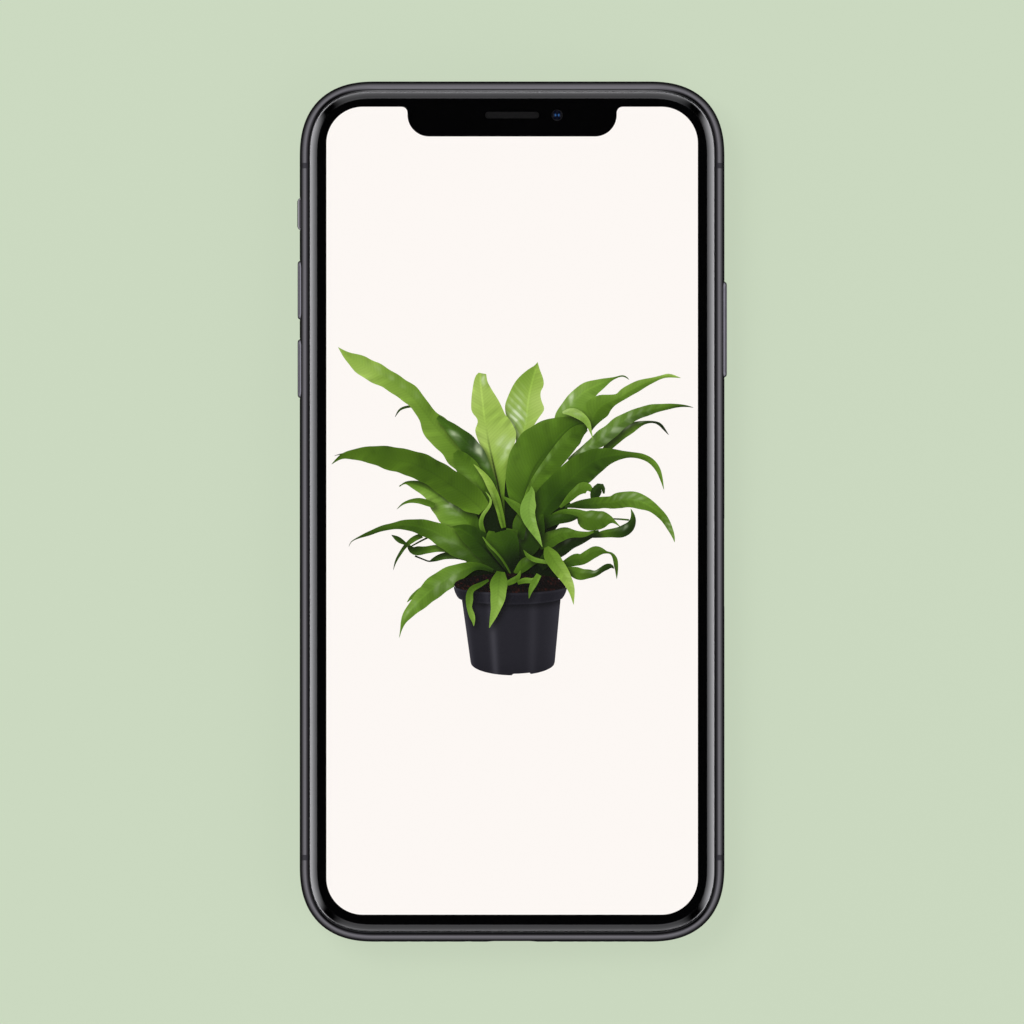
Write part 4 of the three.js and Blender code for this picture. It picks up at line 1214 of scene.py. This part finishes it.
pot = {
    # of each part, from its upper edge down: its middle, half its width and its height, first
    # at that edge and then how much they lessen, and how far its front bows down
    "soil": {
        "x": (-0.3, 0.0), "half": (9.4, 0.0, 1), "y": (-12.2, 0.0), "bow": (-1.9, 4.0), "rows": 14,
        "columns": 80},
    "body": {
        "x": (-0.18, 0.28), "half": (8.4, 1.38, 1), "y": (-13.2, 11.9), "bow": (1.2, 1.0), "rows": 50,
        "columns": 84, "drain": (0.65, -0.01, 0.38, 0.04)},
    "rim": {
        "x": (-0.28, 0.0), "half": (9.45, 0.6, 2), "y": (-12.35, 1.85), "bow": (1.2, 0.1), "rows": 16,
        "columns": 84},
    "charcoal": (33, 32, 39),
    "earth": (8, 6, 5),
    "crumb": (52, 16, 10),
    "noVeins": 50.0,    # a measure across that is wider than any leaf
}


def potLayer(name, paint):
    part = pot[name]

    def sample(t, v):
        t, v = t[:, None], v[None, :]
        half, taper, power = part["half"]
        x = part["x"][0] + part["x"][1] * t + v * (half - taper * t ** power)
        bow = np.sqrt(np.maximum(1 - v * v, 0)) * (part["bow"][0] + part["bow"][1] * t)
        y = part["y"][0] - part["y"][1] * t - bow
        if "drain" in part:
            lift, start, end, slope = part["drain"]
            notch = np.clip((v - start) / slope, 0, 1) - np.clip((v - end) / slope, 0, 1)
            y = y + lift * notch * (t > 0.98)
        plain = 0 * x
        return x, y, paint(t, v), np.zeros((*x.shape, 4)), plain + pot["noVeins"], plain

    return sample, part["rows"], part["columns"]


def charcoal(v, extra):
    # dark plastic with two soft upright reflections, and paler flanks
    light = 26 * hump(v, -0.405, 0.085) + 10 * hump(v, 0.45, 0.1)
    light = light + 26 * hump(v, -1, 0.09) + 18 * np.clip((v - 0.6) / 0.4, 0, 1) ** 2
    return (light + extra)[..., None] + np.array(pot["charcoal"])


def bodyPaint(t, v):
    return charcoal(v, -7 * t ** 6 - 14 * hump(t, 0.07, 0.05))


def rimPaint(t, v):
    edge = 12 * hump(t, 0.1, 0.07) + 8 * hump(t, 0.93, 0.06)
    return charcoal(v, edge - 8) - 9 * hump(v, -0.4, 0.1)[..., None]


def soilPaint(t, v):
    crumb = np.random.default_rng(3).uniform(0, 1, (t * v).shape)[..., None]
    return np.array(pot["earth"]) + crumb ** 5 * np.array(pot["crumb"])


def softened(mask):
    for axis in (0, 1):
        for turn in range(2):
            mask = sum(np.roll(mask, shift, axis) for shift in range(-4, 5)) / 9
    return mask


def mapSize():
    return [int(2 * half / picture["cell"]) for half in picture["reach"]]


def mapCells(x, y):
    # the row and column of the shade's map that each point falls in
    places = zip((x, y), picture["reach"], mapSize())
    columns, rows = (
        np.clip(((place + half) / picture["cell"]).astype(int), 0, count - 1)
        for place, half, count in places)
    return rows, columns


def gridPiece(rows, columns):
    # a flat grid, with the row and column of each of its points
    deselect()
    bpy.ops.mesh.primitive_grid_add(x_subdivisions=columns, y_subdivisions=rows, size=1)
    piece = fresh("leaf")
    place = np.empty(len(piece.data.vertices) * 3)
    piece.data.vertices.foreach_get("co", place)
    place = place.reshape(-1, 3)
    i = np.rint((place[:, 1] + 0.5) * rows).astype(int)
    j = np.rint((place[:, 0] + 0.5) * columns).astype(int)
    return piece, i, j


def paintLayer(layer, height, cover):
    # one layer's grid of faces, moved to its shape and painted, with the shade of those above it
    sample, rows, columns = layer
    x, y, colour, marks, across, along = sample(
        np.linspace(0, 1, rows + 1), np.linspace(-1, 1, columns + 1))
    shift = picture["shadeShift"]
    shade = 1 - picture["shade"] * cover[mapCells(x - shift[0], y - shift[1])]
    paint = np.ones((*x.shape, 4))
    paint[..., :3] = toLinear(np.clip(colour * shade[..., None], 0, 255))
    piece, i, j = gridPiece(rows, columns)
    mesh = piece.data
    place = np.stack([x[i, j], y[i, j], np.full(len(i), height)], axis=1)
    mesh.vertices.foreach_set("co", place.ravel())
    for name, values in (("pictureColour", paint), ("pictureMarks", marks)):
        layerData = mesh.attributes.new(name, "FLOAT_COLOR", "POINT").data
        layerData.foreach_set("color", values[i, j].ravel())
    corner = np.empty(len(mesh.loops), int)
    mesh.loops.foreach_get("vertex_index", corner)
    measure = np.stack([across[i, j], along[i, j]], axis=1)[corner]
    mesh.uv_layers.active.data.foreach_set("uv", measure.ravel())
    fine = sample(np.linspace(0, 1, rows * 6), np.linspace(-1, 1, 90))
    mask = np.zeros_like(cover)
    mask[mapCells(*fine[:2])] = 1.0
    return piece, np.maximum(cover, softened(mask))


def makePicture():
    potParts = [("soil", soilPaint), ("body", bodyPaint), ("rim", rimPaint)]
    layers = [leafLayer(leaf, random.Random(i)) for i, leaf in enumerate(backLeaves)]
    layers += [potLayer(*part) for part in potParts]
    start = len(backLeaves) + 1
    layers += [leafLayer(leaf, random.Random(start + i)) for i, leaf in enumerate(frontLeaves)]
    cover = np.zeros(mapSize()[::-1])
    pieces = []
    for i in reversed(range(len(layers))):
        piece, cover = paintLayer(layers[i], picture["base"] + i * picture["step"], cover)
        pieces.append(piece)
    deselect()
    for piece in pieces:
        piece.select_set(True)
    bpy.context.view_layer.objects.active = pieces[0]
    bpy.ops.object.join()
    whole = bpy.context.active_object
    whole.name = "fernPicture"
    step = whole.modifiers.new("sheet", "SOLIDIFY")
    step.thickness = picture["sheet"]
    bpy.ops.object.modifier_apply(modifier=step.name)
    dress(whole, "handset", "display", pictureLook())
    print("picture made of", len(layers), "layers")


# Glass, front and back, with the gaskets that hold them

glass = {
    "inset": 1.7,
    "flatInset": 3.02,
    "rise": 0.55,
    "steps": 12,
    "support": 0.05,   # a narrow ring that keeps the flat face flat in shading
    "inkTop": 0.005,   # the printed border's place under the glass, and its underside's
    "inkFoot": 0.035,
    "gasket": 1.63,    # width of the front gasket, with the bevel on its outer edge
    "gasketEdge": 0.03,
    "backSeal": 0.12,
    "play": 0.05,      # round what sits in the back glass
}
earpiece = {"y": 66.1, "length": 9.06, "width": 1.17, "clothTrim": 0.05, "clothDrop": 0.1}


def glassSheet(name, bottomHeight, thickness):
    # a sheet whose upper edge rounds over in a quarter of an ellipse
    piece = outlineFace(name, glass["inset"], bottomHeight)
    reach = glass["flatInset"] - glass["inset"]
    straight = (0, thickness - glass["rise"])
    trace([(0, 0), straight] + roundOver(straight, reach, glass["rise"], glass["steps"]))
    climb([(glass["support"], 0)])
    leave()
    return piece


def earpiecePill(name, z0, z1, trim=0.0):
    w, h = earpiece["length"] / 2 - trim, earpiece["width"] / 2 - trim
    y = earpiece["y"]
    return pill(name, (-w, y - h, z0), (w, y + h, z1), 2, 10)


def litPrism(name, margin, z0, z1):
    # the lit area grown by margin, with the notch in its top edge, as a prism
    high = spanOf("display_panel")[1]
    w, h = (side - display["margin"] + margin for side in high[:2])
    foot = h
    if not margin:
        w, foot = w - display["sideTrim"], h - display["footTrim"]
    piece = bar(name, (-w, -foot, z0), (w, h, z1), 2, display["corner"] + margin, 24)
    notchW = display["notchHalfWidth"] - margin
    low, high = (-notchW, display["notchFloor"] + margin, z0 - 1), (notchW, h + 9, z1 + 1)
    boolean(piece, "DIFFERENCE", bar("cutter", low, high, 2, display["notchCorner"] - margin, 16))
    edit(piece)

    def lipEdge(edge):
        a, b = (v.co for v in edge.verts)
        upright = abs((a - b).normalized().z) > 0.9
        return upright and abs(abs(a.x) - notchW) < 0.01 and abs(a.y - h) < 0.01

    pick(lipEdge, "EDGE")
    bpy.ops.mesh.bevel(offset=display["notchFillet"], segments=8, profile=0.5)
    leave()
    return piece


def makeFront():
    z0, z1 = glassLow[2], glassHigh[2]
    pane = glassSheet("coverPane", z0, z1 - z0)
    boolean(pane, "DIFFERENCE", earpiecePill("cutter", z0 - 1, z1 + 1))
    dress(pane, "handset", "cover_glass", stands=["cover_glass"])

    inkLow, inkHigh = z0 - glass["inkFoot"], z0 - glass["inkTop"]
    ink = outlineFace("printedBorder", glass["inset"] + bottom["seam"], inkLow)
    climb([(0, inkHigh - inkLow)])
    leave()
    through = (inkLow - 1, inkHigh + 1)
    centre = (frontCamera["x"], earpiece["y"], 0)
    boolean(
        ink, "DIFFERENCE", litPrism("cutter", 0, *through), earpiecePill("cutter", *through),
        drum("cutter", centre, 2, *through, frontCamera["hole"], 40))
    dress(ink, "handset", "black_plastic", grainyLook("printedBlack"))

    low, high = spanOf("front_gasket")
    gasket = outlineFace("frontSeal", band["lipInset"] + band["lip"] + bottom["seam"], low[2])
    tall, edge = high[2] - 0.01 - low[2], glass["gasketEdge"]
    climb([(0, tall - edge), (edge, edge), (glass["gasket"] - edge, 0), (0, -tall)])
    closeRing(gasket)
    dress(gasket, "handset", "black_plastic", rubberLook(), ["front_gasket"])

    low = spanOf("display_panel")[0]
    panel = litPrism("displayPanel", display["margin"], low[2], display["top"])
    dress(panel, "handset", "display", stands=["display_panel"])

    low, high = spanOf("earpiece_mesh")
    top = high[2] - earpiece["clothDrop"]
    cloth = earpiecePill("earpieceCloth", low[2], top, earpiece["clothTrim"])
    soften(cloth, 2, 1, 0.12)
    dress(cloth, "handset", "speaker_mesh", stands=["earpiece_mesh"])
    print("front made")


frontCamera = {
    "x": 7.5,
    "hole": 0.95,       # in the printed border
    "lens": 0.78,
    "flat": 0.2,
    "case": 7.2,        # height of its square case, and of the foot of the tube on it
    "tubeFoot": 7.1,
    "tube": 1.6,
    "steps": [(0.45, 0), (0.02, -0.1), (0.2, -0.1)],
    "lensDrop": 0.13,
}


def makeFrontCamera():
    # a stepped barrel with a domed lens, under the hole in the printed border
    low, high = spanOf("front_camera")
    x, y, top = frontCamera["x"], earpiece["y"], high[2]
    case = bar("frontCameraCase", low, (high[0], high[1], frontCamera["case"]), 2, 0.5)
    soften(case, 2, 1, 0.2)
    tube = drum("cutter", (x, y, 0), 2, frontCamera["tubeFoot"], top, frontCamera["tube"])
    boolean(case, "UNION", tube)
    edit(case)
    pick(lambda f: f.normal.z > 0.99 and abs(f.calc_center_median().z - top) < 0.001)
    climb(frontCamera["steps"])
    leave()
    dress(case, "handset", "black_plastic", stands=["front_camera"])
    place = (x, y, top - frontCamera["lensDrop"])
    dome = lensDome("frontLens", place, frontCamera["lens"], 40, 1, frontCamera["flat"])
    dress(dome, "handset", "lens_glass", frontLensLook(x, y))


def frontLensLook(x0, y0):
    # coated glass: near black, with two painted blue glints, as reflections of its inner elements,
    # which also glow a little
    look = Look("frontLensGlass")
    across, along, radius = look.around(x0, y0)
    ring = radius.fade(0.06, 0.2) * (1 - radius.fade(0.3, 0.5))
    sides = (abs(across) / (radius + 0.01)).fade(0.55, 0.95)
    upper = (along + 0.2).fade(-0.3, 0.2)
    glint = ring * sides * upper
    haze = look.noise(1.5)
    return look.surface(look.mix(glint, (0.002, 0.003, 0.012), (0.02, 0.085, 0.26)), {
        "Roughness": 0.04 + 0.03 * haze,
        "Emission Color": look.tint((0.06, 0.2, 0.5), glint),
        "Emission Strength": 0.2,
    })


flash = {"rings": 5, "rim": 0.12, "ring": [(0.08, -0.05), (0.14, 0), (0.08, 0.05), (0.1, 0)]}


def makeBack():
    thickness = backHigh[2] - backLow[2]
    sheet = glassSheet("backPane", backLow[2], thickness)
    mirrorHeight(sheet, backLow[2] + thickness / 2)
    x, y = centreOf("camera_bump")[:2]
    w, h = bump["width"] / 2 + glass["play"], bump["length"] / 2 + glass["play"]
    low, high = spanOf("flash_window")
    centre = (*centreOf("flash_window")[:2], 0)
    radius = (high[0] - low[0]) / 2
    boolean(
        sheet, "DIFFERENCE",
        pill("cutter", (x - w, y - h, 0), (x + w, y + h, 3), 2, 24),
        drum("cutter", centre, 2, 0, 3, radius + glass["play"]))
    dress(sheet, "handset", "back_glass", stands=["back_glass"])

    window = drum("flashLens", centre, 2, low[2], high[2], radius)
    edit(window)
    pick(lambda f: f.normal.z < -0.99)
    climb([(flash["rim"], 0)] + flash["ring"] * flash["rings"])
    leave()
    dress(window, "handset", "diffuser", stands=["flash_window"], angle=20)

    low, high = spanOf("back_gasket")
    seal = outlineFace("backSeal", halfWidth - high[0], low[2])
    climb([(0, high[2] - low[2]), (glass["backSeal"], 0), (0, low[2] - high[2])])
    closeRing(seal)
    dress(seal, "handset", "black_plastic", rubberLook(), ["back_gasket"])
    print("back made")


# Rear camera: a raised ring round a dark window with two lenses; the flash below it is made with the
# back glass

bump = {
    "width": 13.0,
    "length": 27.5,
    "wall": 0.8,
    "ledge": 0.5,
    "round": 0.28,
    "chamfer": 0.05,
    "lensOffset": 6.6,
    "lensRadius": 3.7,
}
rearLens = {
    "seam": 0.03,
    "sink": 0.02,           # of the barrel's and the cap's faces in the window's
    "barrel": [(0.3, 0), (0.05, -0.2), (0.55, 0), (0.5, -0.14), (0.04, -0.12), (0.5, 0)],
    "dome": 1.72,
    "flat": 0.18,
    "domeDrop": 0.12,
    "capInset": 0.36,
    "cap": 0.1,
}


def makeRearCamera():
    # the ring climbs with its outer face upwards, and is turned over at the end
    x, y = centreOf("camera_bump")[:2]
    windowLow, windowHigh = spanOf("camera_window")
    w, h, foot = bump["width"] / 2, bump["length"] / 2, -spanOf("camera_bump")[1][2]
    r, wall, cut = bump["round"], bump["wall"], bump["chamfer"]
    seat, inner = -windowHigh[2] - cut, wall + bump["ledge"]
    ring = padFace("cameraRing", (x - w, y - h), (x + w, y + h), foot, w * 0.999, 24)
    trace(
        [(0, foot), (0, -r)] + roundOver((0, -r), r, r, 6)
        + [(wall - cut, 0), (wall, -cut), (wall, seat), (inner, seat), (inner, foot)])
    closeRing(ring)
    mirrorHeight(ring, 0)
    dress(ring, "handset", "frame_metal", stands=["camera_bump"])

    window = pill("cameraWindow", windowLow, windowHigh, 2, 24)
    soften(window, 2, -1, 0.06, 2)
    lenses = (("Upper", y + bump["lensOffset"]), ("Lower", y - bump["lensOffset"]))
    for name, lensY in lenses:
        hole = drum("cutter", (x, lensY, 0), 2, -1, 3, bump["lensRadius"], 64)
        boolean(window, "DIFFERENCE", hole)
    dress(window, "handset", "lens_glass", stands=["camera_window"])
    for name, lensY in lenses:
        makeRearLens(name, x, lensY, windowLow[2], windowHigh[2])
    print("rear camera made")


def makeRearLens(name, x, y, z0, z1):
    # a stepped barrel that narrows to a domed lens, and a clear cap over it
    radius, sink = bump["lensRadius"], rearLens["sink"]
    barrel = drum("rearBarrel" + name, (x, y, 0), 2, z0, z1 - sink, radius - rearLens["seam"], 64)
    edit(barrel)
    pick(lambda f: f.normal.z < -0.99)
    climb(rearLens["barrel"])
    leave()
    dress(barrel, "handset", "black_plastic", barrelLook(name, x, y))
    place = (x, y, z1 - rearLens["domeDrop"])
    dome = lensDome("rearLens" + name, place, rearLens["dome"], 48, -1, rearLens["flat"])
    dress(dome, "handset", "lens_glass", rearLensLook(name, x, y))
    span = (z0 + sink, z0 + sink + rearLens["cap"])
    cap = drum("rearCap" + name, (x, y, 0), 2, *span, radius - rearLens["capInset"], 64)
    soften(cap, 2, -1, 0.03, 2)
    dress(cap, "handset", "cover_glass", capLook(name))


def barrelLook(name, x0, y0):
    # blackened metal with fine turned grooves round the lens
    look = Look("barrel" + name)
    radius = look.around(x0, y0)[2]
    rim = radius.fade(3.35, 3.42)
    return look.surface(look.mix(rim, (0.012, 0.012, 0.013), (0.16, 0.16, 0.17)), {
        "Metallic": 0.2 + 0.8 * rim,
        "Roughness": 0.4 - 0.22 * rim,
        "Normal": look.bump((radius * 60.0).sine(), 0.004),
    })


def rearLensLook(name, x0, y0):
    # the coating turns from green-blue in the middle to violet at the rim
    look = Look("rearLens" + name)
    radius = look.around(x0 - 0.3, y0 + 0.3)[2]
    coat = look.add("ValToRGB", {"stops": [
        (0.0, (0.002, 0.003, 0.004)),
        (0.28, (0.003, 0.006, 0.012)),
        (0.5, (0.008, 0.02, 0.045)),
        (0.72, (0.03, 0.012, 0.05)),
        (1.0, (0.004, 0.003, 0.008)),
    ]}, {0: radius / 2.0})
    haze = look.noise(0.8)
    return look.surface(coat, {
        "Roughness": 0.03 + 0.03 * haze,
        "Coat Weight": 0.9 + 0.1 * haze,
        "Coat Roughness": 0.02,
    })


def capLook(name):
    look = Look("lensCap" + name)
    haze = look.noise(0.5)
    return look.surface(look.tint((0.85, 0.87, 0.95), 0.96 + 0.04 * haze), {
        "Metallic": 1.0,
        "Roughness": 0.02 + 0.03 * haze,
        "Alpha": (look.skin(1.6) * 1.2).least(0.8) * look.outside(),
    })


# Side controls and the card tray

def turnOut(piece, side):
    # a shape that was built lying at z = 0 to z = its reach looks out of the phone's side
    leave()
    piece.rotation_euler = (0, side * math.pi / 2, 0)
    piece.location = (0, 0, middle)
    return settle(piece)


def makeButton(name, node):
    low, high = spanOf(node)
    side = 1 if high[0] > 0 else -1
    reach = max(high[0], -low[0])
    start, flange = wallFace - controls["flangeDepth"], controls["flange"]
    tall = (high[2] - low[2]) / 2
    cap = padFace(name, (-tall, low[1]), (tall, high[1]), start, tall * 0.999, 16)
    brim = reach - controls["dome"]
    cut = (flange + controls["cut"], brim)
    profile = [(0, start), (0, wallFace), (flange, wallFace), (flange, brim - controls["cut"]), cut]
    trace(profile + roundOver(cut, controls["domeInset"], controls["dome"], 5))
    turnOut(cap, side)
    dress(cap, node, "frame_metal", looks["button"], stands=[node])


def makeMuteSwitch():
    # a toggle on a shutter, whose hidden upper part carries an orange patch
    tall, half = toggle["height"] / 2, toggle["length"] / 2
    rest, start = toggle["travel"] / 2, wallFace - 0.1
    low, high = (rest - tall, muteY - half), (rest + tall, muteY + half)
    knob = padFace("ringerToggle", low, high, start, toggle["corner"], 8)
    profile = [(0, start), (0, -muteLow[0] - toggle["neck"])]
    for lean in toggle["leans"]:
        inset, reach = profile[-1]
        rise = toggle["rise"]
        profile.append((inset + rise * math.tan(math.radians(lean)), reach + rise))
    trace(profile)
    turnOut(knob, -1)
    low = (-wallFace, muteLow[1], muteLow[2])
    high = (toggle["shutter"] - wallFace, muteHigh[1], muteHigh[2])
    boolean(knob, "UNION", bar("cutter", low, high, 0, 0.4))
    dress(knob, "mute_switch", "frame_metal", muteLook(middle + rest + tall), ["mute_switch"])


def buttonLook():
    # the frame's metal, darker, with a painted highlight: a much lighter colour on the chamfer that the
    # tool cut
    look = Look("buttonMetal")
    smudge = look.noise(0.5)
    slope = abs(look.facing()[0])
    # faces that slope as the chamfer does take the lighter colour, as a painted highlight
    cut = slope.fade(0.5, 0.62) * (1 - slope.fade(0.78, 0.86))
    colour = look.mix(cut, (0.1, 0.098, 0.11), (0.3, 0.295, 0.34))
    return look.surface(
        look.tint(colour, 0.85 + 0.25 * smudge),
        {"Metallic": 1.0, "Roughness": 0.12 + 0.08 * smudge + 0.06 * cut})


def muteLook(edgeHeight):
    look = Look("ringerSwitch")
    x, y, z = look.where()
    smudge = look.noise(0.9)
    shutter = (x > -halfWidth + band["wallInset"] - 0.2) * (z > edgeHeight + 0.02)
    upward = abs(look.facing()[2])
    # smudges, and painted shade where the faces look up
    shade = (0.9 + 0.2 * smudge) * (1 - 0.62 * upward.fade(0.72, 0.9))
    # a metal much lighter than the frame's, as painted light, with orange on the shutter
    colour = look.mix(shutter, look.tint((0.36, 0.35, 0.38), shade), (0.85, 0.16, 0.02))
    return look.surface(
        colour, {"Metallic": 1 - shutter, "Roughness": 0.13 + 0.08 * smudge + 0.25 * shutter})


def makeTray():
    # the head follows the frame's bulge, and the tongue behind it holds the card
    half, tall, thick = tray["length"] / 2, tray["height"] / 2, tray["tongue"]
    back = halfWidth - tray["depth"]
    low = (back, trayY - half, middle - tall)
    head = pill("cardTray", low, (halfWidth + 1, trayY + half, middle + tall), 0, 14)
    boolean(head, "INTERSECT", frameHull())
    wide = tray["tongueHalf"]
    low = (trayLow[0], trayY - wide, middle - thick)
    high = (back + 0.2, trayY + wide, middle + thick)
    boolean(head, "UNION", bar("cutter", low, high, 2, tray["corner"]))
    cardLow, cardHigh = spanOf("sim_card")
    play = tray["cardPlay"]
    low = (cardLow[0] - play, cardLow[1] - play, cardLow[2] - play / 2)
    pocket = box("cutter", low, (cardHigh[0] + play, cardHigh[1] + play, middle + 2))
    centre = (0, trayY + tray["pinY"], middle)
    pin = drum("cutter", centre, 0, halfWidth - 2, halfWidth + 2, tray["pinRadius"], 24)
    boolean(head, "DIFFERENCE", pocket, pin)
    dress(head, "sim_tray", "frame_metal", stands=["sim_tray"])
    card = bar("simCard", cardLow, cardHigh, 2, tray["cardCorner"])
    soften(card, 2, 1, 0.05, 2)
    dress(card, "sim_tray", "card_plastic", stands=["sim_card"])
    print("controls and tray made")


# Bottom end: the socket with its tongue, and the two screws

def makeBottomEnd():
    low, high = spanOf("charging_socket")
    wall = bottom["socketWall"]
    shell = pill("socketShell", (low[0], low[1] - 1, low[2]), high, 1, 14)
    hollowLow = (low[0] + wall, low[1] - 2, low[2] + wall)
    hollowHigh = (high[0] - wall, high[1] - bottom["socketFloor"], high[2] - wall)
    boolean(shell, "DIFFERENCE", pill("cutter", hollowLow, hollowHigh, 1, 14))
    boolean(shell, "INTERSECT", frameHull())
    dress(shell, "handset", "inner_steel", stands=["charging_socket"])
    w, h = bottom["tongueWidth"] / 2, bottom["tongueHeight"] / 2
    tip, root = low[1] + bottom["tongueDrop"], high[1] - bottom["socketFloor"] - 0.02
    tongue = box("socketTongue", (-w, tip, middle - h), (w, root, middle + h))
    soften(tongue, 1, -1, 0.15, 3)
    dress(tongue, "handset", "black_plastic", tongueLook())
    for name, side in hands:
        makeScrew(name, side)
    print("bottom end made")


def tongueLook():
    # black plastic with a row of gilt contacts on both faces
    look = Look("socketTongue")
    x = look.where()[0]
    strip = (x * (2 * math.pi / bottom["contactPitch"])).sine().fade(0.1, 0.3) * (abs(x) < 2.9)
    level = abs(look.facing()[2]) > 0.9
    gilt = strip * level
    grain = look.noise(6.0)
    colour = look.mix(gilt, (0.012, 0.012, 0.013), (0.7, 0.48, 0.2))
    return look.surface(colour, {"Metallic": gilt, "Roughness": 0.32 + 0.15 * grain})


def makeScrew(name, side):
    low, high = spanOf("bottom_screw_right")
    x = side * bottom["screwX"]
    centre = (x, 0, middle)
    shank = drum("bottomScrew" + name, centre, 1, low[1], high[1], bottom["screwRadius"], 32)
    soften(shank, 1, -1, 0.12, 4)
    long, short = bottom["cross"]
    for wide, tall in ((long, short), (short, long)):
        deep = (low[1] - 0.4, low[1] + bottom["crossDepth"])
        cross = box("cutter", (x - wide, deep[0], middle - tall), (x + wide, deep[1], middle + tall))
        boolean(shank, "DIFFERENCE", cross)
    dress(shank, "handset", "inner_steel", stands=["bottom_screw_" + name.lower()])


makeFrame()
makeFront()
makePicture()
makeFrontCamera()
makeBack()
makeRearCamera()
looks["button"] = buttonLook()
makeButton("sideButtonCap", "side_button")
makeButton("volumeUpCap", "volume_up_button")
makeButton("volumeDownCap", "volume_down_button")
makeMuteSwitch()
makeTray()
makeBottomEnd()


# Stage: a pale green floor, a backdrop for low views, and soft panels of light all round

stage = {
    "floor": (203, 217, 192),
    "reach": 4.0,
    "ownLight": 0.8,   # the share of the floor's light that is its own glow
    "glow": 1.07,
}


def floorLook():
    # pale paper that glows a little by itself, and isn't there from underneath
    look = Look("floorPaper")
    colour = tuple(toLinear(stage["floor"]))
    glow = look.add("Emission", {}, {"Color": (*colour, 1.0), "Strength": stage["glow"]})
    matt = look.add("BsdfDiffuse", {}, {"Color": (*colour, 1.0)})
    paper = look.add("MixShader", {}, {0: stage["ownLight"], 1: matt, 2: glow})
    clear = look.add("BsdfTransparent", {}, {})
    under = look.add("NewGeometry", {}, {}, "Backfacing")
    return look.output(look.add("MixShader", {}, {0: under, 1: paper, 2: clear}))


def backdropLook():
    look = Look("backdropPaper")
    colour = tuple(toLinear(stage["floor"]))
    return look.output(look.add("Emission", {}, {"Color": (*colour, 1.0), "Strength": 1.0}))


def makeStage():
    deselect()
    bpy.ops.mesh.primitive_circle_add(vertices=64, radius=stage["reach"], fill_type="NGON")
    floor = fresh("floor")
    floor.data.materials.append(floorLook())
    floor.visible_glossy = False
    deselect()
    bpy.ops.mesh.primitive_uv_sphere_add(segments=48, ring_count=24, radius=stage["reach"])
    backdrop = fresh("backdrop")
    backdrop.data.materials.append(backdropLook())
    for kind in ("glossy", "diffuse", "transmission", "shadow", "volume_scatter"):
        setattr(backdrop, "visible_" + kind, False)


def makeSkyPanels():
    # how bright the surroundings are, by angle from straight up: a belt all round at the
    # level of the table, a panel over each long side, and a dimmer one over each end
    look = Look("lightTent", bpy.context.scene.world or bpy.data.worlds.new("lightTent"))
    bpy.context.scene.world = look.owner
    x, y, z = look.axes(look.add("TexCoord", {}, {}, "Generated"))
    steep = z.math("ARCCOSINE") / math.pi
    stops = [
        (0, (0.0, 0.0, 0.0)),
        (2, (0.0, 0.0, 0.0)),
        (5, (0.0, 0.13, 0.11)),
        (12, (0.0, 0.16, 0.09)),
        (19, (0.0, 0.26, 0.095)),
        (27, (0.0, 0.33, 0.115)),
        (37, (0.0, 0.45, 0.13)),
        (52, (0.0, 0.56, 0.22)),
        (66, (0.1, 0.5, 0.3)),
        (78, (0.5, 0.2, 0.15)),
        (88, (1.0, 0.04, 0.0)),
        (102, (0.9, 0.0, 0.0)),
        (115, (0.62, 0.0, 0.0)),
        (128, (0.2, 0.0, 0.0)),
        (141, (0.025, 0.0, 0.0)),
        (180, (0.01, 0.0, 0.0)),
    ]
    ramp = look.add("ValToRGB", {"stops": [(a / 180, c) for a, c in stops]}, {0: steep})
    split = look.add("SeparateColor", {}, {0: ramp})
    belt, sides, ends = (Flow(look, out) for out in split.socket.node.outputs)
    level = (x * x + y * y) ** 0.5 + 1e-6
    light = belt + sides * (abs(x) / level).fade(0.75, 0.97) + ends * (abs(y) / level).fade(0.8, 0.98)
    glow = look.add("Background", {}, {"Color": look.tint((1.0, 0.985, 1.0), light), "Strength": 1.0})
    look.output(glow)


def makeLamp(name, place, size, power):
    deselect()
    bpy.ops.object.light_add(type="AREA", location=place)
    lamp = bpy.context.active_object
    lamp.name = name
    lamp.data.size = size
    lamp.data.energy = power
    lamp.rotation_mode = "QUATERNION"
    lamp.rotation_quaternion = lamp.location.to_track_quat("Z", "Y")
    lamp.visible_glossy = False


def makeCamera():
    # straight down, so that the body lies in the picture where the photograph has it
    photo = {"pixels": 1024, "perMillimetre": 5.99, "centre": (512.1, 511.6), "distance": 2.5}
    deselect()
    bpy.ops.object.camera_add()
    camera = bpy.context.active_object
    half = photo["pixels"] / 2
    x = (half - photo["centre"][0]) / photo["perMillimetre"]
    y = (photo["centre"][1] - half) / photo["perMillimetre"]
    camera.location = (x * millimetre, y * millimetre, photo["distance"] + middle * millimetre)
    camera.rotation_euler = (0, 0, 0)
    across = photo["pixels"] / photo["perMillimetre"] * millimetre
    camera.data.lens = camera.data.sensor_width * photo["distance"] / across
    camera.data.clip_end = 20
    bpy.context.scene.camera = camera


makeStage()
makeSkyPanels()
makeLamp("keyLamp", (-0.5, 0.45, 0.9), 0.6, 6.0)
makeLamp("fillLamp", (0.7, -0.5, 0.6), 0.8, 2.5)
makeCamera()
bpy.context.scene.view_settings.view_transform = "Standard"
print("stage made")
